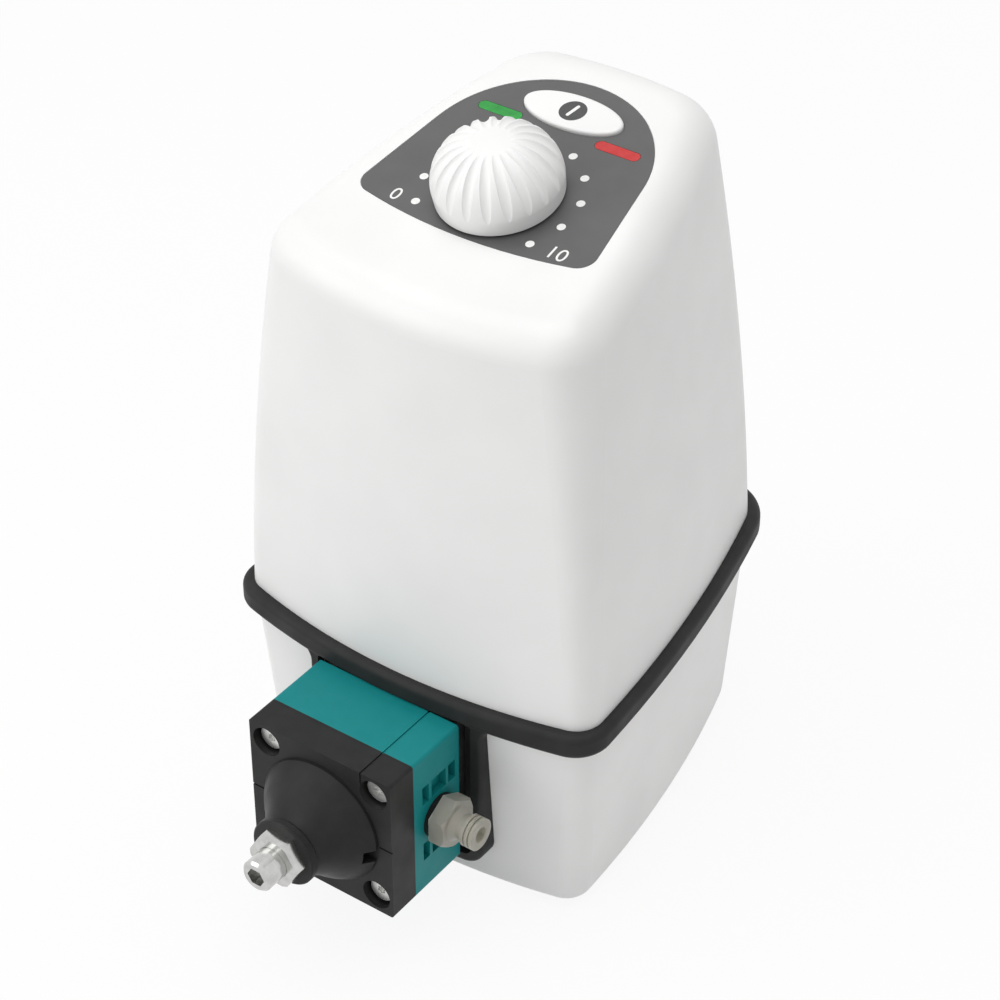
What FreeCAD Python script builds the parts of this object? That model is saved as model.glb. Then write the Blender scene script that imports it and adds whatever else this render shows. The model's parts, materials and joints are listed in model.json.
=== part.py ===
import FreeCAD, Part
import math
import os
from FreeCAD import Vector

# Tabletop diaphragm pump for liquids: a two-piece tapered housing with a rubber belt,
# a square pump head with an adjustable relief valve in front and a dial on the sloped top.
# Millimetres, X across, Y from the pump head (negative) to the back, Z up from the table.
# Every size is written from the middle of the feet. The saved parts are moved along Y,
# so that their origin is the middle of the whole pump's outline on the table.

# Housing outline at the belt, by its sharp corners before the upright edges are rounded
wall = 2.6
far = 300.0
base_z = 3.0
belt_bottom_z = 80.5
belt_top_z = 90.0
shoulder_z = 150.0
crown_z = 272.0
belt_front_half = 73.8
belt_front_y = -72.9
belt_rear_half = 49.0
belt_rear_y = 72.5
rear_bow = 4.0

# How far the outline draws in from the belt at the other levels, and how far it bows
base_front_in = 6.8
base_front_back = 4.9
base_rear_in = 4.7
base_rear_forward = 4.5
base_front_bow = 9.2
base_side_bow = 5.2
belt_front_bow = 11.1
belt_side_bow = 4.8
shoulder_front_in = 3.0
shoulder_front_back = 1.1
shoulder_rear_in = 2.0
shoulder_rear_forward = 6.5
crown_front_in = 14.8
crown_front_back = 9.0
crown_rear_in = 12.4
crown_rear_forward = 23.0
crown_front_bow = 9.5
crown_side_bow = 4.0
front_edge_radius_low = 10.0
front_edge_radius_high = 18.0
rear_edge_radius_low = 20.0
rear_edge_radius_high = 24.0
base_edge_radius = 4.0
top_edge_radius = 14.0

# Rubber belt with its clamping web, and the frame that it forms round the pump head
belt_proud = 3.7
belt_edge_radius = 2.8
belt_web = 2.4
belt_fit = 0.1
frame_proud = 2.3
frame_edge_radius = 1.8
frame_half = 32.8
frame_bottom_z = 17.0
frame_bar = 4.2
frame_corner_radius = 7.5
frame_concave_radius = 5.0
frame_flare_overlap = 0.3
frame_pocket_top_z = 82.5
frame_floor_y = -80.0
frame_floor = 1.6
frame_window_clearance = 0.5
notch_play = 0.6

# Sloped control panel, measured along the slope from the dial's axis
dial_y = -21.1
dial_z = 247.7
panel_slope = 13.4
foil_thickness = 0.4
foil_recess = 0.5
foil_rear_radius = 41.3
foil_rear_centre = 16.3
foil_side_lean = 8.3
foil_front_reach = 23.4
foil_front_corner_reach = 17.7
foil_corner_radius = 6.5
foil_clearance = 0.2
window_half_length = 8.5
window_half_width = 2.0
window_depth = 5.0
window_across = 23.4
window_along = 33.6
panel_fit = 0.15

# Speed knob on the potentiometer's shaft
knob_radius = 22.0
knob_gap = 0.8
knob_skirt_height = 6.0
knob_skirt_draft = 0.4
knob_shoulder_radius = 15.5
knob_crown_rise = 0.4
knob_flutes = 20
flute_radius = 2.1
flute_arc_radius = 22.3
flute_centre_out = 2.25
flute_centre_up = 1.75
knob_hub_radius = 6.0
knob_hub_bottom = 4.0
knob_bore_top = 16.0
knob_cavity_radius = 17.5
knob_cavity_depth = 7.0
pot_shaft_radius = 3.0
pot_bushing_radius = 4.8
pot_bushing_top = 3.0
pot_shaft_bottom = -12.5
pot_body_radius = 12.0
pot_body_height = 9.0
pot_nut_across_flats = 14.0
pot_nut_height = 2.2
pot_fit = 0.05
pot_nut_hole_radius = 8.7

# Power key
key_along = 42.6
key_half_length = 19.2
key_half_width = 8.1
key_proud = 1.3
key_edge_radius = 1.0
key_clearance = 0.3
key_flange = 1.6
key_flange_height = 1.2
key_flange_gap = 0.1
key_plunger_radius = 1.6
key_plunger_depth = 0.9
key_well_radius = 1.9
key_well_depth = 1.9
key_switch_size = 6.0
key_switch_height = 4.3

# Control board under the panel
board_thickness = 1.6
control_board_depth = 19.0
control_board_half = 36.0
control_board_front = 24.0
control_board_rear = 48.0
control_post_radius = 3.6
control_post_across = 32.0
control_post_front = 18.0
control_post_rear = 24.0
board_screw_radius = 1.4
board_screw_head_radius = 2.6
board_screw_head_height = 1.6
board_screw_length = 8.0

# Pump head
head_z = 52.0
head_half = 30.0
head_front_y = -125.0
cover_thickness = 12.6
block_thickness = 25.5
head_edge_radius = 1.2
marking_across = 17.6
marking_width = 0.7
marking_depth = 0.5
side_mark_length = 5.2
head_screw_offset = 22.8
head_screw_radius = 2.5
head_screw_clearance = 0.3
counterbore_radius = 5.7
counterbore_depth = 6.2
head_screw_head_radius = 4.6
head_screw_head_height = 3.2
head_screw_length = 39.5
torx_radius = 1.9
torx_depth = 1.6
torx_waist = 0.72

# Bell of the relief cover, with the spring chamber inside
bell_base_radius = 24.2
bell_shoulder_radius = 19.8
bell_shoulder_reach = 6.5
bell_belly = 2.8
bell_hollow_radius = 13.9
bell_hollow_reach = 13.4
bell_neck_radius = 11.8
bell_neck_reach = 17.0
bell_collar_radius = 12.9
bell_collar_reach = 18.2
bell_reach = 21.0
bell_notch = 5.6
bell_notch_below = 6.0
bell_notch_reach = 4.6
adjuster_radius = 6.0
adjuster_tip_y = -160.0
adjuster_inner_y = -133.0
adjuster_socket_across_flats = 6.2
adjuster_socket_depth = 6.0
adjuster_chamfer = 0.9
adjuster_play = 0.08
adjuster_room = 0.6
lock_nut_across_flats = 18.0
lock_nut_thickness = 5.2
lock_nut_chamfer = 0.7
spring_chamber_radius = 9.2
adjuster_travel = 2.0
spring_seat_radius = 8.6
spring_seat_thickness = 2.0
spring_radius = 6.6
spring_wire_radius = 0.7
spring_turns = 5
spring_end_gap = 0.1
spring_plate_radius = 8.8
spring_plate_thickness = 2.5
relief_diaphragm_radius = 14.0
relief_diaphragm_thickness = 1.5

# Side pockets of the head block, either side of the hose connectors
pocket_depth = 3.0
pocket_low = 8.8
pocket_high = 16.6
pocket_spans = ((-107.6, -104.0), (-102.5, -94.5), (-93.1, -89.2))

# Hose connectors on both sides of the head block
connector_y = -99.0
connector_drop = 1.2
connector_seal_thickness = 2.2
connector_seal_radius = 8.2
connector_across_flats = 17.0
connector_hex_length = 6.2
connector_chamfer = 1.2
connector_thread_radius = 6.4
connector_thread_length = 9.0
connector_bore_radius = 3.0
nozzle_root_radius = 6.6
nozzle_root_length = 2.2
nozzle_neck_radius = 4.8
nozzle_neck_length = 4.8
nozzle_rib_radius = 5.9
nozzle_groove_radius = 5.2
nozzle_ribs = 3
nozzle_rib_pitch = 1.8
nozzle_rib_land = 1.1
thread_fit = 0.05

# Valve plate, intermediate plate and working diaphragm at the back of the head block
valve_recess_radius = 19.5
valve_plate_thickness = 2.0
intermediate_thickness = 6.0
valve_port_offset = 8.5
valve_port_radius = 2.6
valve_flap_slot = 1.0
channel_radius = 2.0
chamber_radius = 15.0
chamber_depth = 2.6
diaphragm_thickness = 1.5
diaphragm_radius = 19.5
diaphragm_core_radius = 7.0
diaphragm_core_back_y = -82.0
plate_play = 0.05

# Crankcase and drive, with the crankshaft upright behind the head
crank_y = -50.0
stroke_half = 1.6
crankcase_flange_half = 27.0
crankcase_flange_thickness = 8.0
crankcase_half = 26.0
crankcase_corner = 4.0
crankcase_neck_half = 23.0
crankcase_bottom_z = 34.0
crankcase_top_z = 84.0
crank_cavity_radius = 21.5
crank_cavity_top_z = 68.0
crank_port_radius = 13.0
diaphragm_port_radius = 16.5
end_cover_thickness = 8.0
end_cover_skin = 1.3
end_screw_offset = 22.0
end_screw_radius = 1.6
end_screw_head_radius = 2.9
end_screw_head_height = 2.0
end_screw_length = 14.0
shaft_radius = 3.0
shaft_end_gap = 0.2
bearing_outer_radius = 9.5
bearing_width = 6.0
bearing_fit = 0.05
eccentric_radius = 8.0
eccentric_height = 8.0
eccentric_hub_radius = 5.6
eccentric_hub_height = 2.0
counterweight_radius = 18.0
counterweight_height = 7.0
counterweight_hub_radius = 7.0
rod_bearing_radius = 13.0
rod_ring_radius = 17.0
rod_shank_radius = 4.5
rod_stud_radius = 2.5
rod_stud_length = 4.0
damper_radius = 5.5
damper_height = 9.0
damper_waist = 4.2
damper_across = 12.0
damper_along = 18.0

# Motor above the crankcase
motor_radius = 26.0
motor_wall = 1.8
motor_flange_half = 27.0
motor_flange_thickness = 3.5
motor_flange_corner = 7.0
motor_length = 66.0
motor_shaft_clearance = 1.2
motor_screw_offset = 22.6
motor_screw_radius = 2.0
motor_screw_head_radius = 3.2
motor_screw_head_height = 2.6
motor_screw_length = 12.0
stator_end_gap = 14.0
stator_bore_radius = 15.5
stator_slots = 9
stator_slot_radius = 2.4
winding_height = 6.0
winding_half = 3.0
rotor_gap = 0.4
rotor_hub_radius = 6.0

# Power supply at the back of the lower housing
supply_y = 32.0
supply_half_width = 42.0
supply_bottom_z = 9.0
supply_top_z = 78.0
rail_wide = 6.0
rail_deep = 4.0
rail_top_z = 60.0
rail_fit = 0.15
transformer_core_size = (34.0, 11.0, 28.0)
transformer_coil_size = (22.0, 20.0, 20.0)
transformer_x = -2.0
transformer_z = 46.0
capacitor_radius = 7.0
capacitor_length = 22.0
capacitor_x = 24.0
capacitor_levels = (38.0, 58.0)
heat_sink_size = (12.0, 18.0, 40.0)
heat_sink_x = -31.0
heat_sink_z = 46.0
heat_sink_fins = 4
heat_sink_web = 2.4
heat_sink_fin = 1.2

# Sockets in the recess of the back wall
rear_recess_half = 31.5
rear_recess_low_z = 20.0
rear_recess_high_z = 52.0
rear_recess_inset = 6.5
socket_z = 36.0
inlet_x = -14.0
inlet_body_half_width = 13.5
inlet_body_half_height = 9.8
inlet_body_depth = 17.0
inlet_flange = 2.4
inlet_flange_thickness = 2.0
inlet_mouth_half_width = 11.6
inlet_mouth_half_height = 7.8
inlet_mouth_chamfer = 3.6
inlet_mouth_depth = 15.0
inlet_blade = (1.0, 2.1)
inlet_blade_length = 13.0
inlet_blade_offset = 7.0
inlet_blade_drop = 2.0
control_socket_x = 19.0
control_socket_radius = 8.0
control_socket_flange_radius = 10.5
control_socket_flange_thickness = 2.0
control_socket_mouth_radius = 6.6
control_socket_depth = 13.0
control_pin_radius = 0.75
control_pin_circle = 4.0
control_pin_length = 7.0
control_mouth_depth = 9.0
control_pins = 8

# Feet, housing screws and the posts that carry them
foot_radius = 8.0
foot_plug_radius = 3.9
foot_edge_radius = 1.0
foot_in_front = (31.8, 14.9)
foot_in_rear = (22.0, 18.5)
screw_post_radius = 5.5
screw_tunnel_radius = 4.2
screw_ledge_z = 66.0
housing_screw_radius = 2.0
housing_screw_head_radius = 3.6
housing_screw_head_height = 3.0
housing_screw_length = 30.0
screw_in_front = (18.8, 28.9)
screw_in_rear = (11.0, 30.5)
upper_post_height = 34.0
post_rib = 2.2
screw_fit = 0.05
screw_hole_play = 0.3
vent_slots = 6
vent_slot_half_width = 1.5
vent_slot_half_length = 12.0
vent_pitch = 7.0
vent_y = 10.0

# Places that follow from the sizes above
parting_low_z = (belt_bottom_z + belt_top_z) / 2 - belt_web / 2
parting_high_z = parting_low_z + belt_web
floor_top_z = base_z + wall
frame_outer_half = frame_half + frame_bar
notch_half = frame_half + notch_play
notch_bottom_z = frame_bottom_z + frame_bar - notch_play
rear_recess_y = belt_rear_y - rear_recess_inset
connector_z = head_z - connector_drop
motor_top_z = crankcase_top_z + motor_length
shaft_bottom_z = crankcase_bottom_z - end_cover_thickness + end_cover_skin + shaft_end_gap
shaft_top_z = motor_top_z - motor_wall - motor_shaft_clearance
stator_bottom_z = crankcase_top_z + stator_end_gap
stator_top_z = motor_top_z - motor_wall - stator_end_gap
block_front_y = head_front_y + cover_thickness
block_back_y = block_front_y + block_thickness
collar_front_y = head_front_y - bell_reach
upper_posts_top_z = parting_high_z + upper_post_height
recess_floor_y = (block_back_y - diaphragm_thickness - intermediate_thickness
                  - valve_plate_thickness)
intermediate_front_y = recess_floor_y + valve_plate_thickness
diaphragm_front_y = intermediate_front_y + intermediate_thickness
seat_back_y = adjuster_inner_y + spring_seat_thickness
plate_front_y = block_front_y - spring_plate_thickness
key_flange_top = -wall - key_flange_gap
damper_bottom_z = crankcase_bottom_z - end_cover_thickness - damper_height
dampers_at = [(x, crank_y + y) for x in (-damper_across, damper_across)
              for y in (-damper_along, damper_along)]
motor_bearing_z = shaft_top_z - bearing_width
origin_y = (adjuster_tip_y + belt_rear_y + rear_bow + belt_proud) / 2
foot_front = (belt_front_half - foot_in_front[0], belt_front_y + foot_in_front[1])
foot_rear = (belt_rear_half - foot_in_rear[0], belt_rear_y - foot_in_rear[1])
screw_front = (belt_front_half - screw_in_front[0], belt_front_y + screw_in_front[1])
screw_rear = (belt_rear_half - screw_in_rear[0], belt_rear_y - screw_in_rear[1])
feet = [(side * x, y) for x, y in (foot_front, foot_rear) for side in (-1, 1)]
housing_screws_at = [(side * x, y) for x, y in (screw_front, screw_rear) for side in (-1, 1)]
head_corners = [(x, z) for x in (-head_screw_offset, head_screw_offset)
                for z in (head_z - head_screw_offset, head_z + head_screw_offset)]

os.makedirs("parts", exist_ok=True)


def save(node, shape):
    """Write one sub-part, as one solid or a group of separate solids."""
    solids = [solid for solid in shape.Solids]
    shape = solids[0] if len(solids) == 1 else Part.makeCompound(solids)
    shape = shape.translated(Vector(0, -origin_y, 0))
    shape.exportStep(os.path.join("parts", node + ".step"))
    print(node, len(solids), round(shape.Volume, 1), shape.isValid())


def box(x0, y0, z0, x1, y1, z1):
    """Block between two corners."""
    return Part.makeBox(x1 - x0, y1 - y0, z1 - z0, Vector(x0, y0, z0))


def upright(radius, x, y, z0, z1):
    """Cylinder standing from z0 to z1."""
    return Part.makeCylinder(radius, z1 - z0, Vector(x, y, z0))


def lying(radius, y0, y1, x=0.0, z=head_z):
    """Cylinder along Y from y0 to y1."""
    return Part.makeCylinder(radius, y1 - y0, Vector(x, y0, z), Vector(0, 1, 0))


def polygon_prism(points, direction):
    """Straight-sided outline pushed along a direction."""
    wire = Part.makePolygon([Vector(*p) for p in points] + [Vector(*points[0])])
    return Part.Face(wire).extrude(direction)


def hexagon_along_y(across_flats, y0, y1, chamfer):
    """Hexagon along Y on the head's axis, its corners turned down at the front end."""
    reach = across_flats / math.sqrt(3)
    points = [(reach * math.cos(math.radians(a)), y0, head_z + reach * math.sin(math.radians(a)))
              for a in range(0, 360, 60)]
    prism = polygon_prism(points, Vector(0, y1 - y0, 0))
    cone = Part.makeCone(reach - chamfer, reach + y1 - y0 - chamfer, y1 - y0,
                         Vector(0, y0, head_z), Vector(0, 1, 0))
    return prism.common(cone) if chamfer else prism


def edges_where(shape, wanted):
    """Edges whose middle point satisfies a test."""
    chosen = []
    for edge in shape.Edges:
        middle = edge.valueAt((edge.FirstParameter + edge.LastParameter) / 2)
        if wanted(edge, middle):
            chosen.append(edge)
    return chosen


def outline(z, inset, front_in, front_back, rear_in, rear_forward, front_bow, side_bow):
    """Closed outline at one level from a bowed front, two bowed sides and a bowed back."""
    front_half = belt_front_half - front_in - inset
    front_y = belt_front_y + front_back + inset
    rear_half = belt_rear_half - rear_in - inset
    rear_y = belt_rear_y - rear_forward - inset
    front_left = Vector(-front_half, front_y, z)
    front_right = Vector(front_half, front_y, z)
    rear_right = Vector(rear_half, rear_y, z)
    rear_left = Vector(-rear_half, rear_y, z)
    side = rear_right - front_right
    bulge = Vector(side.y, -side.x, 0).normalize() * side_bow
    middle_right = (front_right + rear_right) * 0.5 + bulge
    middle_left = Vector(-middle_right.x, middle_right.y, z)
    arcs = [
        Part.Arc(front_left, Vector(0, front_y - front_bow, z), front_right),
        Part.Arc(front_right, middle_right, rear_right),
        Part.Arc(rear_right, Vector(0, rear_y + rear_bow, z), rear_left),
        Part.Arc(rear_left, middle_left, front_left),
    ]
    return Part.Wire([arc.toShape() for arc in arcs])


def base_outline(z, inset):
    return outline(z, inset, base_front_in, base_front_back, base_rear_in, base_rear_forward,
                   base_front_bow, base_side_bow)


def belt_outline(z, inset):
    return outline(z, inset, 0, 0, 0, 0, belt_front_bow, belt_side_bow)


def shoulder_outline(z, inset):
    return outline(z, inset, shoulder_front_in, shoulder_front_back, shoulder_rear_in,
                   shoulder_rear_forward, belt_front_bow, belt_side_bow)


def crown_outline(z, inset):
    return outline(z, inset, crown_front_in, crown_front_back, crown_rear_in,
                   crown_rear_forward, crown_front_bow, crown_side_bow)


def is_sharp(form, edge):
    """True where the two faces beside an edge meet at an angle."""
    faces = form.ancestorsOfType(edge, Part.Face)
    if len(faces) != 2:
        return False
    point = edge.valueAt((edge.FirstParameter + edge.LastParameter) / 2)
    normals = []
    for face in faces:
        u, v = face.Surface.parameter(point)
        normals.append(face.normalAt(u, v))
    return normals[0].getAngle(normals[1]) > math.radians(10)


def corner_edges(form, wanted):
    """Sharp edges that run up the whole form, in front or at the back."""
    return [edge for edge in form.Edges
            if edge.BoundBox.ZLength > 0.7 * form.BoundBox.ZLength
            and wanted(edge.CenterOfMass.y) and is_sharp(form, edge)]


def round_corners(form, front_low, front_high, rear_low, rear_high):
    """Round the upright corner edges with a radius that may grow from bottom to top."""
    form = form.makeFillet(front_low, front_high, corner_edges(form, lambda y: y < 0))
    return form.makeFillet(rear_low, rear_high, corner_edges(form, lambda y: y > 0))


def to_panel(shape):
    """Move a shape from the dial's own frame, with Z along its axis, onto the slope."""
    shape = shape.copy()
    shape.rotate(Vector(0, 0, 0), Vector(1, 0, 0), panel_slope)
    shape.translate(Vector(0, dial_y, dial_z))
    return shape


def upper_form(inset):
    """Tapered upper body with its sloped top and rounded edges, set in by a distance."""
    sections = [belt_outline(belt_bottom_z, inset), shoulder_outline(shoulder_z, inset),
                crown_outline(crown_z, inset)]
    form = Part.makeLoft(sections, True, False)
    form = round_corners(form, front_edge_radius_low - inset, front_edge_radius_high - inset,
                         rear_edge_radius_low - inset, rear_edge_radius_high - inset)
    form = form.cut(to_panel(box(-far, -far, -inset, far, far, far)))
    rim = [edge for edge in form.Edges
           if edge.BoundBox.ZMin > (shoulder_z + dial_z) / 2 and is_sharp(form, edge)]
    return form.makeFillet(top_edge_radius - inset, rim)


def lower_form(inset, bottom_z):
    """Lower body tapering down to the base, set in by a distance."""
    form = Part.makeLoft([base_outline(base_z, inset), belt_outline(belt_top_z, inset)],
                         True, True)
    form = round_corners(form, front_edge_radius_low - inset, front_edge_radius_low - inset,
                         rear_edge_radius_low - inset, rear_edge_radius_low - inset)
    form = form.cut(box(-far, -far, 0, far, far, bottom_z))
    rim = [edge for edge in form.Edges
           if edge.BoundBox.ZMax < bottom_z + 0.1 and is_sharp(form, edge)]
    return form.makeFillet(base_edge_radius - inset, rim)


def foil_prism(inset, low, high):
    """Panel outline in the dial's own frame: a round back, leaning sides, a bowed front."""
    lean = math.radians(foil_side_lean)
    tangent_x = foil_rear_radius * math.cos(lean)
    tangent_y = foil_rear_centre + foil_rear_radius * math.sin(lean)
    corner_x = tangent_x + (tangent_y + foil_front_corner_reach) * math.tan(lean)
    rear_right = Vector(tangent_x, tangent_y, low)
    rear_left = Vector(-tangent_x, tangent_y, low)
    front_right = Vector(corner_x, -foil_front_corner_reach, low)
    front_left = Vector(-corner_x, -foil_front_corner_reach, low)
    rear_middle = Vector(0, foil_rear_centre + foil_rear_radius, low)
    front_middle = Vector(0, -foil_front_reach, low)
    wire = Part.Wire([
        Part.Arc(rear_right, rear_middle, rear_left).toShape(),
        Part.LineSegment(rear_left, front_left).toShape(),
        Part.Arc(front_left, front_middle, front_right).toShape(),
        Part.LineSegment(front_right, rear_right).toShape(),
    ])
    prism = Part.Face(wire).extrude(Vector(0, 0, high - low))
    corners = [edge for edge in prism.Edges
               if edge.BoundBox.ZLength > (high - low) / 2 and edge.CenterOfMass.y < 0]
    prism = prism.makeFillet(foil_corner_radius, corners)
    if inset == 0:
        return prism
    bottom = [face for face in prism.Faces if face.BoundBox.ZMax < low + 0.01][0]
    return bottom.makeOffset2D(-inset).extrude(Vector(0, 0, high - low))


def ellipse_prism(half_length, half_width, low, high):
    """Oval of the power key in the dial's own frame."""
    ellipse = Part.Ellipse(Vector(0, key_along, low), half_length, half_width)
    face = Part.Face(Part.Wire([ellipse.toShape()]))
    return face.extrude(Vector(0, 0, high - low))


def window_prism(side, growth, low, high):
    """Rounded bar of one indicator window in the dial's own frame."""
    radius = window_half_width + growth
    reach = window_half_length - window_half_width
    centre = side * window_across
    bar = box(centre - reach, window_along - radius, low, centre + reach,
              window_along + radius, high)
    ends = [upright(radius, centre + end * reach, window_along, low, high) for end in (-1, 1)]
    return bar.multiFuse(ends).removeSplitter()


def control_posts(radius, low, high):
    """Four round posts or holes that carry the control board, in the dial's own frame."""
    return [upright(radius, side * control_post_across, along, low, high)
            for along in (-control_post_front, control_post_rear) for side in (-1, 1)]


def make_upper_housing():
    shell = upper_form(0).cut(upper_form(wall))
    shell = shell.cut(box(-far, -far, 0, far, far, parting_high_z))
    posts = [upright(screw_post_radius, x, y, parting_low_z, upper_posts_top_z)
             for x, y in housing_screws_at]
    ribs = [box(min(x, x * 2), y - post_rib / 2, parting_high_z, max(x, x * 2), y + post_rib / 2,
                upper_posts_top_z) for x, y in housing_screws_at]
    inner = upper_form(wall / 2)
    ribs = [rib.common(inner) for rib in ribs]
    board_posts = [to_panel(post).common(inner)
                   for post in control_posts(control_post_radius, -control_board_depth, 0)]
    shell = shell.multiFuse(posts + ribs + board_posts)
    holes = [upright(housing_screw_radius + screw_fit, x, y, parting_low_z - 1,
                     screw_ledge_z + housing_screw_length + 2) for x, y in housing_screws_at]
    through = -2 * wall
    panel_cuts = [
        foil_prism(0, -foil_recess, wall),
        upright(pot_bushing_radius + pot_fit, 0, 0, through, wall),
        ellipse_prism(key_half_length + key_clearance, key_half_width + key_clearance,
                      through, wall),
    ]
    panel_cuts += [window_prism(side, panel_fit, through, wall) for side in (-1, 1)]
    panel_cuts += control_posts(board_screw_radius + screw_fit, -control_board_depth - 1,
                                -control_board_depth + board_screw_length)
    return shell.cut(holes + [to_panel(cut) for cut in panel_cuts]).removeSplitter()


def make_lower_housing():
    outer = lower_form(0, base_z)
    shell = outer.cut(lower_form(wall, floor_top_z))
    inner = lower_form(wall / 2, floor_top_z - wall / 2)
    backing = box(-rear_recess_half - wall, rear_recess_y - wall, rear_recess_low_z - wall,
                  rear_recess_half + wall, far, rear_recess_high_z + wall).common(outer)
    additions = [backing]
    additions += [upright(screw_post_radius, x, y, base_z + 1, parting_low_z)
                  for x, y in housing_screws_at]
    additions += [upright(damper_radius, x, y, base_z + 1, damper_bottom_z)
                  for x, y in dampers_at]
    for side in (-1, 1):
        rail_x = side * supply_half_width
        rail = box(rail_x - rail_wide / 2, supply_y - rail_deep, base_z + 1,
                   rail_x + rail_wide / 2, supply_y + board_thickness + rail_deep, rail_top_z)
        additions.append(rail)
    shell = shell.multiFuse([shape.common(inner) if shape is not backing else shape
                             for shape in additions])
    cuts = [box(-far, -far, parting_low_z, far, far, far)]
    cuts.append(box(-notch_half, -far, notch_bottom_z, notch_half, crank_y, parting_low_z))
    cuts.append(box(-rear_recess_half, rear_recess_y, rear_recess_low_z,
                    rear_recess_half, far, rear_recess_high_z))
    cuts.append(inlet_block(inlet_body_half_width + panel_fit, inlet_body_half_height + panel_fit,
                            rear_recess_y - 2 * wall, rear_recess_y + 1))
    cuts.append(lying(control_socket_radius + panel_fit, rear_recess_y - 2 * wall,
                      rear_recess_y + 1, control_socket_x, socket_z))
    for x, y in housing_screws_at:
        cuts.append(upright(screw_tunnel_radius, x, y, 0, screw_ledge_z))
        cuts.append(upright(housing_screw_radius + screw_hole_play, x, y, 0, far))
    cuts += [upright(foot_plug_radius, x, y, 0, floor_top_z + 1) for x, y in feet]
    slot = box(-supply_half_width - rail_fit, supply_y - rail_fit, supply_bottom_z,
               supply_half_width + rail_fit, supply_y + board_thickness + rail_fit, far)
    cuts.append(slot)
    for index in range(vent_slots):
        x = (index - (vent_slots - 1) / 2) * vent_pitch
        cuts.append(box(x - vent_slot_half_width, vent_y - vent_slot_half_length, 0,
                        x + vent_slot_half_width, vent_y + vent_slot_half_length,
                        floor_top_z + 1))
    return shell.cut(cuts).removeSplitter()


def frame_outline(half, bottom, corner, top):
    """Outline of the frame seen from the front, running up into the belt."""
    lip = half + frame_concave_radius
    lip_z = belt_bottom_z + frame_flare_overlap
    turn_z = lip_z - frame_concave_radius
    bend = frame_concave_radius * (1 - math.sqrt(0.5))
    curve = corner * (1 - math.sqrt(0.5))
    y = -far
    right = [
        Part.LineSegment(Vector(half - corner, y, bottom), Vector(corner - half, y, bottom)),
        Part.Arc(Vector(half, y, bottom + corner), Vector(half - curve, y, bottom + curve),
                 Vector(half - corner, y, bottom)),
        Part.LineSegment(Vector(half, y, turn_z), Vector(half, y, bottom + corner)),
        Part.Arc(Vector(lip, y, lip_z), Vector(half + bend, y, lip_z - bend),
                 Vector(half, y, turn_z)),
        Part.LineSegment(Vector(lip, y, top), Vector(lip, y, lip_z)),
    ]
    left = [
        Part.Arc(Vector(-half, y, bottom + corner), Vector(curve - half, y, bottom + curve),
                 Vector(corner - half, y, bottom)),
        Part.LineSegment(Vector(-half, y, turn_z), Vector(-half, y, bottom + corner)),
        Part.Arc(Vector(-lip, y, lip_z), Vector(-half - bend, y, lip_z - bend),
                 Vector(-half, y, turn_z)),
        Part.LineSegment(Vector(-lip, y, top), Vector(-lip, y, lip_z)),
    ]
    over = [Part.LineSegment(Vector(-lip, y, top), Vector(lip, y, top))]
    edges = [curve_.toShape() for curve_ in right + left + over]
    return Part.Wire(Part.__sortEdges__(edges))


def round_outer_edges(solid, sides, radius):
    """Round the sharp edges of a solid that lie on the upright faces it was cut from."""
    skin = Part.makeShell([face for face in sides.Faces
                           if face.BoundBox.ZLength > sides.BoundBox.ZLength / 2])
    edges = edges_where(solid, lambda edge, middle: is_sharp(solid, edge)
                        and skin.distToShape(Part.Vertex(middle))[0] < 0.01)
    return solid.makeFillet(radius, edges)


def rounded_outline_prism(proud, low, high):
    """Belt outline stood off from the housing, with rounded corners, between two levels."""
    prism = Part.Face(belt_outline(low, -proud)).extrude(Vector(0, 0, high - low))
    front_radius = front_edge_radius_low + proud
    rear_radius = rear_edge_radius_low + proud
    return round_corners(prism, front_radius, front_radius, rear_radius, rear_radius)


def make_bumper_frame():
    belt = rounded_outline_prism(belt_proud, belt_bottom_z, belt_top_z)
    belt = round_outer_edges(belt, belt, belt_edge_radius)
    tall = rounded_outline_prism(frame_proud, 0, belt_top_z)
    middle_z = (belt_bottom_z + belt_top_z) / 2
    apron = Part.Face(frame_outline(frame_outer_half, frame_bottom_z, frame_corner_radius,
                                    middle_z))
    apron = apron.extrude(Vector(0, far + crank_y, 0)).common(tall)
    apron = round_outer_edges(apron, tall, frame_edge_radius)
    band = belt.fuse(apron)
    under = lower_form(-belt_fit, base_z).common(box(-far, -far, 0, far, far, parting_low_z))
    over = upper_form(-belt_fit).cut(box(-far, -far, 0, far, far, parting_high_z))
    inside = upper_form(wall)
    band = band.cut([under, over, inside])
    pocket = box(-frame_half, -far, frame_bottom_z + frame_bar,
                 frame_half, frame_floor_y, frame_pocket_top_z)
    pocket = pocket.makeFillet(frame_corner_radius - frame_bar,
                               [edge for edge in pocket.Edges if edge.BoundBox.YLength > far / 2])
    floor_half = notch_half - belt_fit
    back_y = frame_floor_y + frame_floor
    floor = box(-floor_half, frame_floor_y, notch_bottom_z + belt_fit, floor_half, back_y,
                parting_high_z)
    roof = box(-floor_half, frame_floor_y - belt_edge_radius, frame_pocket_top_z, floor_half,
               back_y, parting_high_z)
    window_half = crankcase_flange_half + frame_window_clearance
    window = box(-window_half, -far, head_z - window_half, window_half, crank_y,
                 head_z + window_half)
    return band.fuse([floor, roof]).cut([pocket, window]).removeSplitter()


def make_rubber_feet():
    solids = []
    for x, y in feet:
        pad = upright(foot_radius, x, y, 0, base_z)
        pad = pad.makeFillet(foot_edge_radius, edges_where(pad, lambda edge, middle: middle.z < 0.1))
        solids.append(pad.fuse(upright(foot_plug_radius, x, y, base_z, floor_top_z)))
    return Part.makeCompound(solids)


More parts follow.
